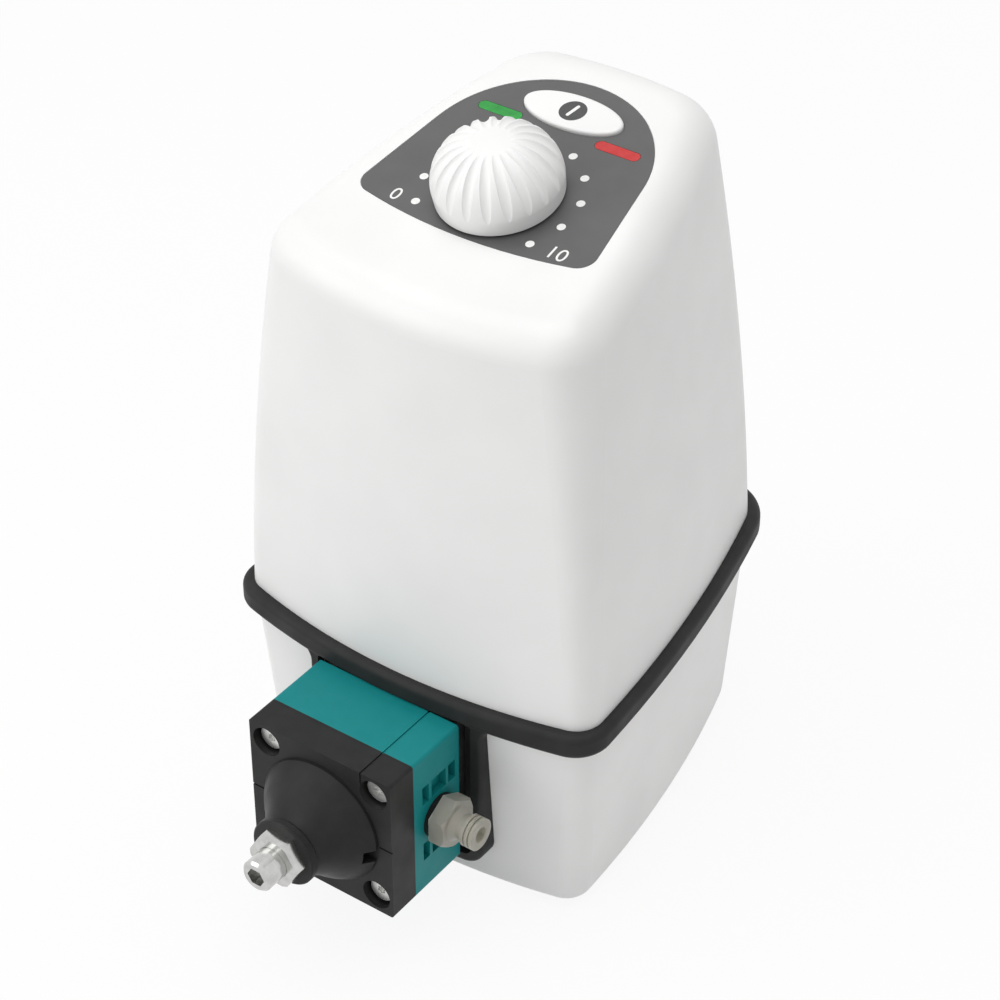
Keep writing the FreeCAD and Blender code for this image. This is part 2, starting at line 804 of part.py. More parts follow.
def screw(x, y, head_z_low, head_height, head_radius, shank_radius, length, rise):
    """Upright screw whose shank starts at the head and goes up or down."""
    head = upright(head_radius, x, y, head_z_low, head_z_low + head_height)
    if rise > 0:
        low = head_z_low + head_height
        return head.fuse(upright(shank_radius, x, y, low, low + length))
    return head.fuse(upright(shank_radius, x, y, head_z_low - length, head_z_low))


def make_housing_screws():
    return Part.makeCompound([
        screw(x, y, screw_ledge_z - housing_screw_head_height, housing_screw_head_height,
              housing_screw_head_radius, housing_screw_radius, housing_screw_length, 1)
        for x, y in housing_screws_at])


def make_control_foil():
    foil = foil_prism(foil_clearance, -foil_recess, -foil_recess + foil_thickness)
    cuts = [upright(pot_nut_hole_radius, 0, 0, -wall, wall),
            ellipse_prism(key_half_length + key_clearance, key_half_width + key_clearance,
                          -wall, wall)]
    cuts += [window_prism(side, panel_fit, -wall, wall) for side in (-1, 1)]
    return to_panel(foil.cut(cuts))


def make_window(side):
    top = window_prism(side, 0, -window_depth, -foil_recess + foil_thickness)
    pillar = upright(window_half_width, side * window_across, window_along,
                     -control_board_depth, -window_depth)
    return to_panel(top.fuse(pillar).removeSplitter())


def make_power_key():
    cap = ellipse_prism(key_half_length, key_half_width, key_flange_top, key_proud)
    cap = cap.makeFillet(key_edge_radius, edges_where(
        cap, lambda edge, middle: middle.z > key_proud - 0.1))
    flange = ellipse_prism(key_half_length + key_flange, key_half_width + key_flange,
                           key_flange_top - key_flange_height, key_flange_top)
    plunger = upright(key_plunger_radius, 0, key_along,
                      -control_board_depth + key_switch_height - key_plunger_depth,
                      key_flange_top)
    return to_panel(cap.multiFuse([flange, plunger]).removeSplitter())


def make_key_switch():
    half = key_switch_size / 2
    body = box(-half, key_along - half, -control_board_depth, half, key_along + half,
               -control_board_depth + key_switch_height - 1)
    collar = upright(half, 0, key_along, -control_board_depth,
                     -control_board_depth + key_switch_height)
    well = upright(key_well_radius, 0, key_along,
                   -control_board_depth + key_switch_height - key_well_depth, 0)
    return to_panel(body.fuse(collar).cut(well).removeSplitter())


def make_speed_knob():
    centre_r = knob_radius - knob_shoulder_radius
    shoulder = math.sqrt(0.5) * knob_shoulder_radius
    top = knob_skirt_height + knob_shoulder_radius
    crown_sweep = centre_r / 2
    edges = [
        Part.LineSegment(Vector(0, 0, knob_gap),
                         Vector(knob_radius - knob_skirt_draft, 0, knob_gap)),
        Part.LineSegment(Vector(knob_radius - knob_skirt_draft, 0, knob_gap),
                         Vector(knob_radius, 0, knob_skirt_height)),
        Part.Arc(Vector(knob_radius, 0, knob_skirt_height),
                 Vector(centre_r + shoulder, 0, knob_skirt_height + shoulder),
                 Vector(centre_r, 0, top)),
        Part.Arc(Vector(centre_r, 0, top), Vector(crown_sweep, 0, top + 0.75 * knob_crown_rise),
                 Vector(0, 0, top + knob_crown_rise)),
        Part.LineSegment(Vector(0, 0, top + knob_crown_rise), Vector(0, 0, knob_gap)),
    ]
    face = Part.Face(Part.Wire([edge.toShape() for edge in edges]))
    knob = face.revolve(Vector(0, 0, 0), Vector(0, 0, 1), 360)
    centre = Vector(flute_centre_out, 0, flute_centre_up)
    circle = Part.Circle(centre + Vector(flute_arc_radius, 0, 0), Vector(0, 0, 1), flute_radius)
    flute = Part.Face(Part.Wire([circle.toShape()])).revolve(centre, Vector(0, -1, 0), 90)
    flutes = []
    for index in range(knob_flutes):
        copy = flute.copy()
        copy.rotate(Vector(0, 0, 0), Vector(0, 0, 1), (index + 0.5) * 360 / knob_flutes)
        flutes.append(copy)
    knob = knob.cut(flutes)
    cavity = upright(knob_cavity_radius, 0, 0, 0, knob_cavity_depth)
    hub = upright(knob_hub_radius, 0, 0, knob_hub_bottom, knob_cavity_depth)
    bore = upright(pot_shaft_radius + pot_fit, 0, 0, 0, knob_bore_top)
    return to_panel(knob.cut([cavity.cut(hub), bore]))


def make_potentiometer():
    body = upright(pot_body_radius, 0, 0, -wall - pot_body_height, -wall)
    bushing = upright(pot_bushing_radius, 0, 0, -wall, pot_bushing_top)
    bore = upright(pot_shaft_radius + pot_fit, 0, 0, -far, far)
    return to_panel(body.fuse(bushing).cut(bore))


def make_potentiometer_shaft():
    return to_panel(upright(pot_shaft_radius, 0, 0, pot_shaft_bottom, knob_bore_top))


def make_potentiometer_nut():
    reach = pot_nut_across_flats / math.sqrt(3)
    points = [(reach * math.cos(math.radians(a)), reach * math.sin(math.radians(a)), -foil_recess)
              for a in range(0, 360, 60)]
    nut = polygon_prism(points, Vector(0, 0, pot_nut_height))
    return to_panel(nut.cut(upright(pot_bushing_radius + pot_fit, 0, 0, -wall, wall)))


def make_control_board():
    board = box(-control_board_half, -control_board_front, -control_board_depth - board_thickness,
                control_board_half, control_board_rear, -control_board_depth)
    holes = control_posts(board_screw_radius + rail_fit, -control_board_depth - wall, 0)
    return to_panel(board.cut(holes))


def make_control_board_screws():
    low = -control_board_depth - board_thickness - board_screw_head_height
    solids = [to_panel(screw(side * control_post_across, along, low, board_screw_head_height,
                             board_screw_head_radius, board_screw_radius, board_screw_length, 1))
              for along in (-control_post_front, control_post_rear) for side in (-1, 1)]
    return Part.makeCompound(solids)


def head_plate(front_y, back_y):
    """Square slice of the pump head with its long edges broken."""
    plate = box(-head_half, front_y, head_z - head_half, head_half, back_y, head_z + head_half)
    return plate.makeFillet(head_edge_radius, [
        edge for edge in plate.Edges if edge.BoundBox.YLength > (back_y - front_y) / 2])


def top_groove(front_y, back_y):
    """Marking groove across the top of the head."""
    return box(marking_across - marking_width / 2, front_y, head_z + head_half - marking_depth,
               marking_across + marking_width / 2, back_y, head_z + head_half + 1)


def make_relief_cover():
    plate = head_plate(head_front_y, block_front_y)
    front = head_front_y
    ring = bell_collar_radius - bell_neck_radius
    profile = [
        Part.LineSegment(Vector(0, front + 1, 0), Vector(bell_base_radius, front + 1, 0)),
        Part.LineSegment(Vector(bell_base_radius, front + 1, 0),
                         Vector(bell_base_radius, front - 1, 0)),
        Part.Arc(Vector(bell_base_radius, front - 1, 0),
                 Vector(bell_shoulder_radius + bell_belly, front - bell_shoulder_reach / 2, 0),
                 Vector(bell_shoulder_radius, front - bell_shoulder_reach, 0)),
        Part.Arc(Vector(bell_shoulder_radius, front - bell_shoulder_reach, 0),
                 Vector(bell_hollow_radius, front - bell_hollow_reach, 0),
                 Vector(bell_neck_radius, front - bell_neck_reach, 0)),
        Part.LineSegment(Vector(bell_neck_radius, front - bell_neck_reach, 0),
                         Vector(bell_collar_radius, front - bell_collar_reach, 0)),
        Part.LineSegment(Vector(bell_collar_radius, front - bell_collar_reach, 0),
                         Vector(bell_collar_radius, collar_front_y + ring / 2, 0)),
        Part.LineSegment(Vector(bell_collar_radius, collar_front_y + ring / 2, 0),
                         Vector(bell_collar_radius - ring / 2, collar_front_y, 0)),
        Part.LineSegment(Vector(bell_collar_radius - ring / 2, collar_front_y, 0),
                         Vector(0, collar_front_y, 0)),
        Part.LineSegment(Vector(0, collar_front_y, 0), Vector(0, front + 1, 0)),
    ]
    face = Part.Face(Part.Wire([edge.toShape() for edge in profile]))
    bell = face.revolve(Vector(0, 0, 0), Vector(0, 1, 0), 360)
    bell.translate(Vector(0, 0, head_z))
    cover = plate.fuse(bell)
    chamber_front = adjuster_inner_y - adjuster_travel - adjuster_room
    cuts = [lying(spring_chamber_radius, chamber_front, block_front_y),
            lying(adjuster_radius + adjuster_play, -far, chamber_front)]
    for x, z in head_corners:
        cuts.append(lying(counterbore_radius, -far, head_front_y + counterbore_depth, x, z))
        cuts.append(lying(head_screw_radius + head_screw_clearance, -far, 0, x, z))
    cuts.append(top_groove(head_front_y, block_front_y))
    cuts.append(box(marking_across - marking_width / 2, head_front_y,
                    head_z + bell_base_radius, marking_across + marking_width / 2,
                    head_front_y + marking_depth, head_z + head_half))
    for side in (-1, 1):
        edge_x = side * head_half
        inner_x = side * (head_half - side_mark_length)
        cuts.append(box(min(edge_x, inner_x), head_front_y, head_z, max(edge_x, inner_x),
                        head_front_y + marking_depth, head_z + marking_width))
        notch_x = side * (bell_base_radius - bell_notch)
        foot_x = side * (bell_base_radius + 1)
        cuts.append(box(min(notch_x, foot_x), head_front_y - bell_notch_reach,
                        head_z - bell_notch_below, max(notch_x, foot_x), head_front_y,
                        head_z - marking_width))
    return cover.cut(cuts).removeSplitter()


def make_head_block():
    block = head_plate(block_front_y, block_back_y)
    cuts = [lying(valve_recess_radius + plate_play, recess_floor_y, block_back_y),
            lying(relief_diaphragm_radius + plate_play, block_front_y,
                  block_front_y + relief_diaphragm_thickness)]
    for x, z in head_corners:
        cuts.append(lying(head_screw_radius + head_screw_clearance, -far, 0, x, z))
    for side in (-1, 1):
        axis = Vector(side, 0, 0)
        port_x = side * valve_port_offset
        cuts.append(Part.makeCylinder(connector_thread_radius + thread_fit,
                                      connector_thread_length + 1,
                                      Vector(side * (head_half - connector_thread_length),
                                             connector_y, connector_z), axis))
        cuts.append(Part.makeCylinder(channel_radius, head_half - valve_port_offset,
                                      Vector(port_x, connector_y, connector_z), axis))
        cuts.append(lying(valve_port_radius, connector_y, recess_floor_y, port_x))
        cuts.append(lying(channel_radius, block_front_y, connector_y, port_x))
        for span_front, span_back in pocket_spans:
            for low, high in ((-pocket_high, -pocket_low), (pocket_low, pocket_high)):
                wall_x = side * head_half
                floor_x = side * (head_half - pocket_depth)
                cuts.append(box(min(wall_x, floor_x), span_front, head_z + low,
                                max(wall_x, floor_x), span_back, head_z + high))
    cuts.append(top_groove(block_front_y, block_back_y))
    return block.cut(cuts).removeSplitter()


def make_head_screws():
    solids = []
    seat_y = head_front_y + counterbore_depth
    for x, z in head_corners:
        head = lying(head_screw_head_radius, seat_y - head_screw_head_height, seat_y, x, z)
        shank = lying(head_screw_radius, seat_y, seat_y + head_screw_length, x, z)
        points = []
        for index in range(12):
            radius = torx_radius if index % 2 else torx_radius * torx_waist
            angle = math.radians(30 * index)
            points.append((x + radius * math.cos(angle), seat_y - head_screw_head_height,
                           z + radius * math.sin(angle)))
        socket = polygon_prism(points, Vector(0, torx_depth, 0))
        solids.append(head.fuse(shank).cut(socket))
    return Part.makeCompound(solids)


def make_hose_connector(side):
    base = head_half + connector_seal_thickness
    hexagon_end = base + connector_hex_length
    reach = connector_across_flats / math.sqrt(3)
    points = [(base, reach * math.cos(math.radians(a)), reach * math.sin(math.radians(a)))
              for a in range(30, 390, 60)]
    hexagon = polygon_prism(points, Vector(connector_hex_length, 0, 0))
    along = Vector(1, 0, 0)
    cone = Part.makeCone(reach + connector_hex_length - connector_chamfer,
                         reach - connector_chamfer, connector_hex_length,
                         Vector(base, 0, 0), along)
    hexagon = hexagon.common(cone)
    stub = Part.makeCylinder(connector_thread_radius, connector_thread_length,
                             Vector(base - connector_thread_length, 0, 0), along)
    root = Part.makeCone(nozzle_root_radius, nozzle_neck_radius, nozzle_root_length,
                         Vector(hexagon_end, 0, 0), along)
    ribs_start = hexagon_end + nozzle_neck_length
    ribs_length = (nozzle_ribs - 1) * nozzle_rib_pitch + nozzle_rib_land
    neck = Part.makeCylinder(nozzle_neck_radius, nozzle_neck_length, Vector(hexagon_end, 0, 0),
                             along)
    core = Part.makeCylinder(nozzle_groove_radius, ribs_length, Vector(ribs_start, 0, 0), along)
    parts = [stub, root, neck, core]
    for index in range(nozzle_ribs):
        start = ribs_start + index * nozzle_rib_pitch
        parts.append(Part.makeCylinder(nozzle_rib_radius, nozzle_rib_land,
                                       Vector(start, 0, 0), along))
    bore = Part.makeCylinder(connector_bore_radius, far, Vector(0, 0, 0), along)
    connector = hexagon.multiFuse(parts).cut(bore).removeSplitter()
    if side < 0:
        connector.rotate(Vector(0, 0, 0), Vector(0, 0, 1), 180)
    connector.translate(Vector(0, connector_y, connector_z))
    return connector


def make_connector_seals():
    solids = []
    for side in (-1, 1):
        foot = Vector(side * head_half, connector_y, connector_z)
        axis = Vector(side, 0, 0)
        ring = Part.makeCylinder(connector_seal_radius, connector_seal_thickness, foot, axis)
        hole = Part.makeCylinder(connector_thread_radius + thread_fit, connector_seal_thickness,
                                 foot, axis)
        solids.append(ring.cut(hole))
    return Part.makeCompound(solids)


def make_lock_nut():
    front = collar_front_y - lock_nut_thickness
    nut = hexagon_along_y(lock_nut_across_flats, front, collar_front_y, lock_nut_chamfer)
    return nut.cut(lying(adjuster_radius + adjuster_play, front - 1, collar_front_y + 1))


def make_adjusting_screw():
    rod = lying(adjuster_radius, adjuster_tip_y, adjuster_inner_y)
    rod = rod.makeChamfer(adjuster_chamfer, edges_where(
        rod, lambda edge, middle: abs(middle.y - adjuster_tip_y) < 0.1))
    socket = hexagon_along_y(adjuster_socket_across_flats, adjuster_tip_y,
                             adjuster_tip_y + adjuster_socket_depth, 0)
    return rod.cut(socket)


def make_relief_spring():
    """Spring wire as a helix between the seat and the plate, its ends left open."""
    start = seat_back_y + spring_wire_radius + spring_end_gap
    length = plate_front_y - spring_wire_radius - spring_end_gap - start
    path = Part.makeHelix(length / spring_turns, length, spring_radius)
    circle = Part.Circle(Vector(spring_radius, 0, 0), Vector(0, 1, 0), spring_wire_radius)
    wire = Part.Wire([circle.toShape()])
    spring = Part.Wire(path).makePipeShell([wire], True, True)
    spring.rotate(Vector(0, 0, 0), Vector(1, 0, 0), -90)
    spring.translate(Vector(0, start, head_z))
    return spring


def make_valve_plate():
    plate = lying(valve_recess_radius, recess_floor_y, recess_floor_y + valve_plate_thickness)
    flap_gap = valve_port_radius + valve_flap_slot
    cuts = []
    for side in (-1, 1):
        centre = side * valve_port_offset
        ring = lying(flap_gap, -far, 0, centre).cut(lying(valve_port_radius, -far, 0, centre))
        hinge = box(centre - valve_flap_slot, -far, head_z, centre + valve_flap_slot, 0,
                    head_z + 2 * flap_gap)
        cuts.append(ring.cut(hinge))
    return plate.cut(cuts)


def make_intermediate_plate():
    plate = lying(valve_recess_radius, intermediate_front_y, diaphragm_front_y)
    chamber = lying(chamber_radius, diaphragm_front_y - chamber_depth, diaphragm_front_y)
    ports = [lying(valve_port_radius, -far, diaphragm_front_y, side * valve_port_offset)
             for side in (-1, 1)]
    return plate.cut([chamber] + ports)


def make_working_diaphragm():
    """Clamped rim and a middle that stands forward with the crank in its rest place."""
    back = block_back_y
    front = diaphragm_front_y
    points = [(0, front - stroke_half), (diaphragm_core_radius + 1, front - stroke_half),
              (chamber_radius, front), (diaphragm_radius, front), (diaphragm_radius, back),
              (diaphragm_port_radius, back), (diaphragm_core_radius + 2, back - stroke_half),
              (0, back - stroke_half)]
    face = Part.Face(Part.makePolygon([Vector(r, y, 0) for r, y in points + points[:1]]))
    diaphragm = face.revolve(Vector(0, 0, 0), Vector(0, 1, 0), 360)
    diaphragm.translate(Vector(0, 0, head_z))
    return diaphragm


def make_connecting_rod():
    centre_y = crank_y - stroke_half
    low = head_z - eccentric_height / 2
    ring = upright(rod_ring_radius, 0, centre_y, low, low + eccentric_height)
    shank = lying(rod_shank_radius, diaphragm_core_back_y, centre_y)
    shank = shank.common(box(-far, -far, low, far, far, low + eccentric_height))
    stud = lying(rod_stud_radius, diaphragm_core_back_y - rod_stud_length, diaphragm_core_back_y)
    bore = upright(rod_bearing_radius + bearing_fit, 0, centre_y, low, low + eccentric_height)
    return ring.fuse([shank, stud]).cut(bore).removeSplitter()


def make_diaphragm_core():
    front = block_back_y - stroke_half
    core = lying(diaphragm_core_radius, front, diaphragm_core_back_y)
    return core.cut(lying(rod_stud_radius + bearing_fit,
                          diaphragm_core_back_y - rod_stud_length, 0))


def make_rod_bearing():
    centre_y = crank_y - stroke_half
    low = head_z - eccentric_height / 2
    ring = upright(rod_bearing_radius, 0, centre_y, low, low + eccentric_height)
    return ring.cut(upright(eccentric_radius + bearing_fit, 0, centre_y, 0, far))


def on_shaft(shape):
    """Take the shaft's hole out of a piece that sits on it."""
    return shape.cut(upright(shaft_radius + bearing_fit, 0, crank_y, 0, far))


def make_eccentric():
    low = head_z - eccentric_height / 2
    disc = upright(eccentric_radius, 0, crank_y - stroke_half, low, low + eccentric_height)
    hub = upright(eccentric_hub_radius, 0, crank_y, low - eccentric_hub_height,
                  low + eccentric_height + eccentric_hub_height)
    return on_shaft(disc.fuse(hub).removeSplitter())


def make_counterweight():
    top = head_z - eccentric_height / 2 - eccentric_hub_height
    half_disc = upright(counterweight_radius, 0, crank_y, top - counterweight_height, top)
    half_disc = half_disc.common(box(-far, crank_y, 0, far, far, far))
    hub = upright(counterweight_hub_radius, 0, crank_y, top - counterweight_height, top)
    return on_shaft(half_disc.fuse(hub).removeSplitter())


def drive_block(half, low, high, corner):
    """Square block round the crankshaft with rounded upright corners."""
    block = box(-half, crank_y - half, low, half, crank_y + half, high)
    return block.makeFillet(corner, [edge for edge in block.Edges
                                     if edge.BoundBox.ZLength > (high - low) / 2])


def make_crankcase():
    flange_back = block_back_y + crankcase_flange_thickness
    flange = box(-crankcase_flange_half, block_back_y, head_z - crankcase_flange_half,
                 crankcase_flange_half, flange_back, head_z + crankcase_flange_half)
    neck = box(-crankcase_neck_half, block_back_y, head_z - crankcase_neck_half,
               crankcase_neck_half, crank_y - crankcase_half, head_z + crankcase_neck_half)
    body = drive_block(crankcase_half, crankcase_bottom_z, crankcase_top_z, crankcase_corner)
    entry = box(-crankcase_neck_half, crank_y - crankcase_half, crankcase_bottom_z,
                crankcase_neck_half, crank_y, crankcase_top_z - crankcase_corner)
    case = body.multiFuse([flange, neck, entry])
    bearing_top = crank_cavity_top_z + bearing_width
    cuts = [
        upright(crank_cavity_radius, 0, crank_y, crankcase_bottom_z, crank_cavity_top_z),
        upright(bearing_outer_radius + bearing_fit, 0, crank_y, crankcase_bottom_z, bearing_top),
        upright(shaft_radius + 2, 0, crank_y, crankcase_bottom_z, far),
        lying(diaphragm_port_radius, block_back_y, flange_back),
        lying(crank_port_radius, block_back_y, crank_y),
    ]
    cuts += [lying(head_screw_radius + thread_fit, block_back_y, flange_back, x, z)
             for x, z in head_corners]
    for x, y in around_crank(end_screw_offset):
        cuts.append(upright(end_screw_radius + thread_fit, x, y, crankcase_bottom_z,
                            crankcase_bottom_z + end_screw_length))
    for x, y in around_crank(motor_screw_offset):
        cuts.append(upright(motor_screw_radius + thread_fit, x, y,
                            crankcase_top_z - motor_screw_length, crankcase_top_z))
    return case.cut(cuts).removeSplitter()


def around_crank(offset):
    """Four places on a square round the crankshaft."""
    return [(x, crank_y + y) for x in (-offset, offset) for y in (-offset, offset)]


def make_end_cover():
    low = crankcase_bottom_z - end_cover_thickness
    cover = drive_block(crankcase_half, low, crankcase_bottom_z, crankcase_corner)
    cuts = [
        upright(bearing_outer_radius + bearing_fit, 0, crank_y,
                crankcase_bottom_z - bearing_width, crankcase_bottom_z),
        upright(shaft_radius + 2, 0, crank_y, low + end_cover_skin, crankcase_bottom_z),
    ]
    for x, y in around_crank(end_screw_offset):
        cuts.append(upright(end_screw_head_radius + rail_fit, x, y, low,
                            low + end_screw_head_height))
        cuts.append(upright(end_screw_radius + rail_fit, x, y, low, crankcase_bottom_z))
    return cover.cut(cuts)


def make_end_cover_screws():
    low = crankcase_bottom_z - end_cover_thickness
    return Part.makeCompound([
        screw(x, y, low, end_screw_head_height, end_screw_head_radius, end_screw_radius,
              end_screw_length, 1)
        for x, y in around_crank(end_screw_offset)])


def bearing(x, y, low):
    """Small ball bearing for the motor shaft, standing from a level."""
    ring = upright(bearing_outer_radius, x, y, low, low + bearing_width)
    return ring.cut(upright(shaft_radius + bearing_fit, x, y, low, low + bearing_width))


def make_shaft_bearings():
    return Part.makeCompound([bearing(0, crank_y, crankcase_bottom_z - bearing_width),
                              bearing(0, crank_y, crank_cavity_top_z)])


def make_rubber_dampers():
    solids = []
    low = damper_bottom_z
    high = low + damper_height
    for x, y in dampers_at:
        edges = [
            Part.LineSegment(Vector(0, 0, low), Vector(damper_radius, 0, low)),
            Part.Arc(Vector(damper_radius, 0, low), Vector(damper_waist, 0, (low + high) / 2),
                     Vector(damper_radius, 0, high)),
            Part.LineSegment(Vector(damper_radius, 0, high), Vector(0, 0, high)),
            Part.LineSegment(Vector(0, 0, high), Vector(0, 0, low)),
        ]
        face = Part.Face(Part.Wire([edge.toShape() for edge in edges]))
        damper = face.revolve(Vector(0, 0, 0), Vector(0, 0, 1), 360)
        damper.translate(Vector(x, y, 0))
        solids.append(damper)
    return Part.makeCompound(solids)


def make_motor_can():
    flange_top = crankcase_top_z + motor_flange_thickness
    flange = drive_block(motor_flange_half, crankcase_top_z, flange_top, motor_flange_corner)
    shell = upright(motor_radius, 0, crank_y, crankcase_top_z, motor_top_z)
    inner = upright(motor_radius - motor_wall, 0, crank_y, flange_top, motor_top_z - motor_wall)
    boss = upright(bearing_outer_radius + motor_wall, 0, crank_y, motor_bearing_z,
                   motor_top_z - motor_wall)
    cuts = [
        inner.cut(boss),
        upright(bearing_outer_radius + bearing_fit, 0, crank_y, motor_bearing_z,
                motor_bearing_z + bearing_width),
        upright(shaft_radius + 1, 0, crank_y, crankcase_top_z, shaft_top_z + 0.5),
    ]
    cuts += [upright(motor_screw_radius + rail_fit, x, y, crankcase_top_z, flange_top)
             for x, y in around_crank(motor_screw_offset)]
    can = flange.fuse(shell).cut(cuts).removeSplitter()
    rim = edges_where(can, lambda edge, middle: middle.z > motor_top_z - 0.1
                      and abs(edge.BoundBox.XLength - 2 * motor_radius) < 1)
    return can.makeFillet(motor_wall, rim)


def make_stator():
    ring = upright(motor_radius - motor_wall, 0, crank_y, stator_bottom_z, stator_top_z)
    cuts = [upright(stator_bore_radius, 0, crank_y, stator_bottom_z, stator_top_z)]
    cuts += stator_rods(stator_slot_radius)
    return ring.cut(cuts)


def stator_rods(radius):
    """Upright bars or holes spread evenly round the stator."""
    circle = (stator_bore_radius + motor_radius - motor_wall) / 2
    rods = []
    for index in range(stator_slots):
        angle = 2 * math.pi * index / stator_slots
        rods.append(upright(radius, circle * math.sin(angle), crank_y + circle * math.cos(angle),
                            stator_bottom_z - winding_height / 2,
                            stator_top_z + winding_height / 2))
    return rods


def make_stator_windings():
    circle = (stator_bore_radius + motor_radius - motor_wall) / 2
    coils = []
    for low in (stator_bottom_z - winding_height, stator_top_z):
        ring = upright(circle + winding_half, 0, crank_y, low, low + winding_height)
        coils.append(ring.cut(upright(circle - winding_half, 0, crank_y, low,
                                      low + winding_height)))
    rods = stator_rods(stator_slot_radius - plate_play)
    return coils[0].multiFuse(coils[1:] + rods).removeSplitter()


def make_rotor():
    core = upright(stator_bore_radius - rotor_gap, 0, crank_y, stator_bottom_z, stator_top_z)
    hub = upright(rotor_hub_radius, 0, crank_y, stator_bottom_z - winding_height,
                  stator_top_z + winding_height)
    return on_shaft(core.fuse(hub))


def make_motor_screws():
    return Part.makeCompound([
        screw(x, y, crankcase_top_z + motor_flange_thickness, motor_screw_head_height,
              motor_screw_head_radius, motor_screw_radius, motor_screw_length, -1)
        for x, y in around_crank(motor_screw_offset)])


def make_supply_board():
    return box(-supply_half_width, supply_y, supply_bottom_z,
               supply_half_width, supply_y + board_thickness, supply_top_z)


def block_on_board(size, x, z, gap):
    """Block of given width, depth and height that stands off the front of the supply board."""
    width, depth, height = size
    return box(x - width / 2, supply_y - gap - depth, z - height / 2,
               x + width / 2, supply_y - gap, z + height / 2)


def make_supply_transformer():
    coil = block_on_board(transformer_coil_size, transformer_x, transformer_z, 0)
    gap = (transformer_coil_size[1] - transformer_core_size[1]) / 2
    core = block_on_board(transformer_core_size, transformer_x, transformer_z, gap)
    return coil.fuse(core).removeSplitter()


def make_supply_capacitors():
    return Part.makeCompound([
        lying(capacitor_radius, supply_y - capacitor_length, supply_y, capacitor_x, level)
        for level in capacitor_levels])


def make_heat_sink():
    width, depth, height = heat_sink_size
    web = block_on_board((width, heat_sink_web, height), heat_sink_x, heat_sink_z, 0)
    step = (width - heat_sink_fin) / (heat_sink_fins - 1)
    first = heat_sink_x - (width - heat_sink_fin) / 2
    fins = [block_on_board((heat_sink_fin, depth, height), first + index * step, heat_sink_z, 0)
            for index in range(heat_sink_fins)]
    return web.multiFuse(fins).removeSplitter()


def inlet_block(half_width, half_height, front_y, back_y):
    """Block of the mains inlet about its own axis."""
    return box(inlet_x - half_width, front_y, socket_z - half_height,
               inlet_x + half_width, back_y, socket_z + half_height)


def make_mains_inlet():
    flange_y = rear_recess_y + inlet_flange_thickness
    flange = inlet_block(inlet_body_half_width + inlet_flange,
                         inlet_body_half_height + inlet_flange, rear_recess_y, flange_y)
    body = inlet_block(inlet_body_half_width, inlet_body_half_height,
                       flange_y - inlet_body_depth, flange_y)
    mouth = inlet_block(inlet_mouth_half_width, inlet_mouth_half_height,
                        flange_y - inlet_mouth_depth, flange_y)
    mouth = mouth.makeChamfer(inlet_mouth_chamfer, edges_where(
        mouth, lambda edge, middle: edge.BoundBox.YLength > inlet_mouth_depth / 2
        and middle.z > socket_z))
    half_x, half_z = inlet_blade
    blades = []
    for x, z in ((-inlet_blade_offset, -inlet_blade_drop), (0, inlet_blade_drop),
                 (inlet_blade_offset, -inlet_blade_drop)):
        blades.append(box(inlet_x + x - half_x, flange_y - inlet_mouth_depth - 0.5,
                          socket_z + z - half_z, inlet_x + x + half_x,
                          flange_y - inlet_mouth_depth + inlet_blade_length,
                          socket_z + z + half_z))
    return flange.fuse(body).cut(mouth).multiFuse(blades).removeSplitter()


def make_control_socket():
    flange_y = rear_recess_y + control_socket_flange_thickness
    flange = lying(control_socket_flange_radius, rear_recess_y, flange_y,
                   control_socket_x, socket_z)
    body = lying(control_socket_radius, flange_y - control_socket_depth, flange_y,
                 control_socket_x, socket_z)
    floor_y = flange_y - control_mouth_depth
    mouth = lying(control_socket_mouth_radius, floor_y, flange_y, control_socket_x, socket_z)
    pins = []
    for index in range(control_pins):
        angle = 2 * math.pi * (index + 0.5) / control_pins
        pins.append(lying(control_pin_radius, floor_y - 0.5, floor_y + control_pin_length,
                          control_socket_x + control_pin_circle * math.sin(angle),
                          socket_z + control_pin_circle * math.cos(angle)))
    return flange.fuse(body).cut(mouth).multiFuse(pins).removeSplitter()


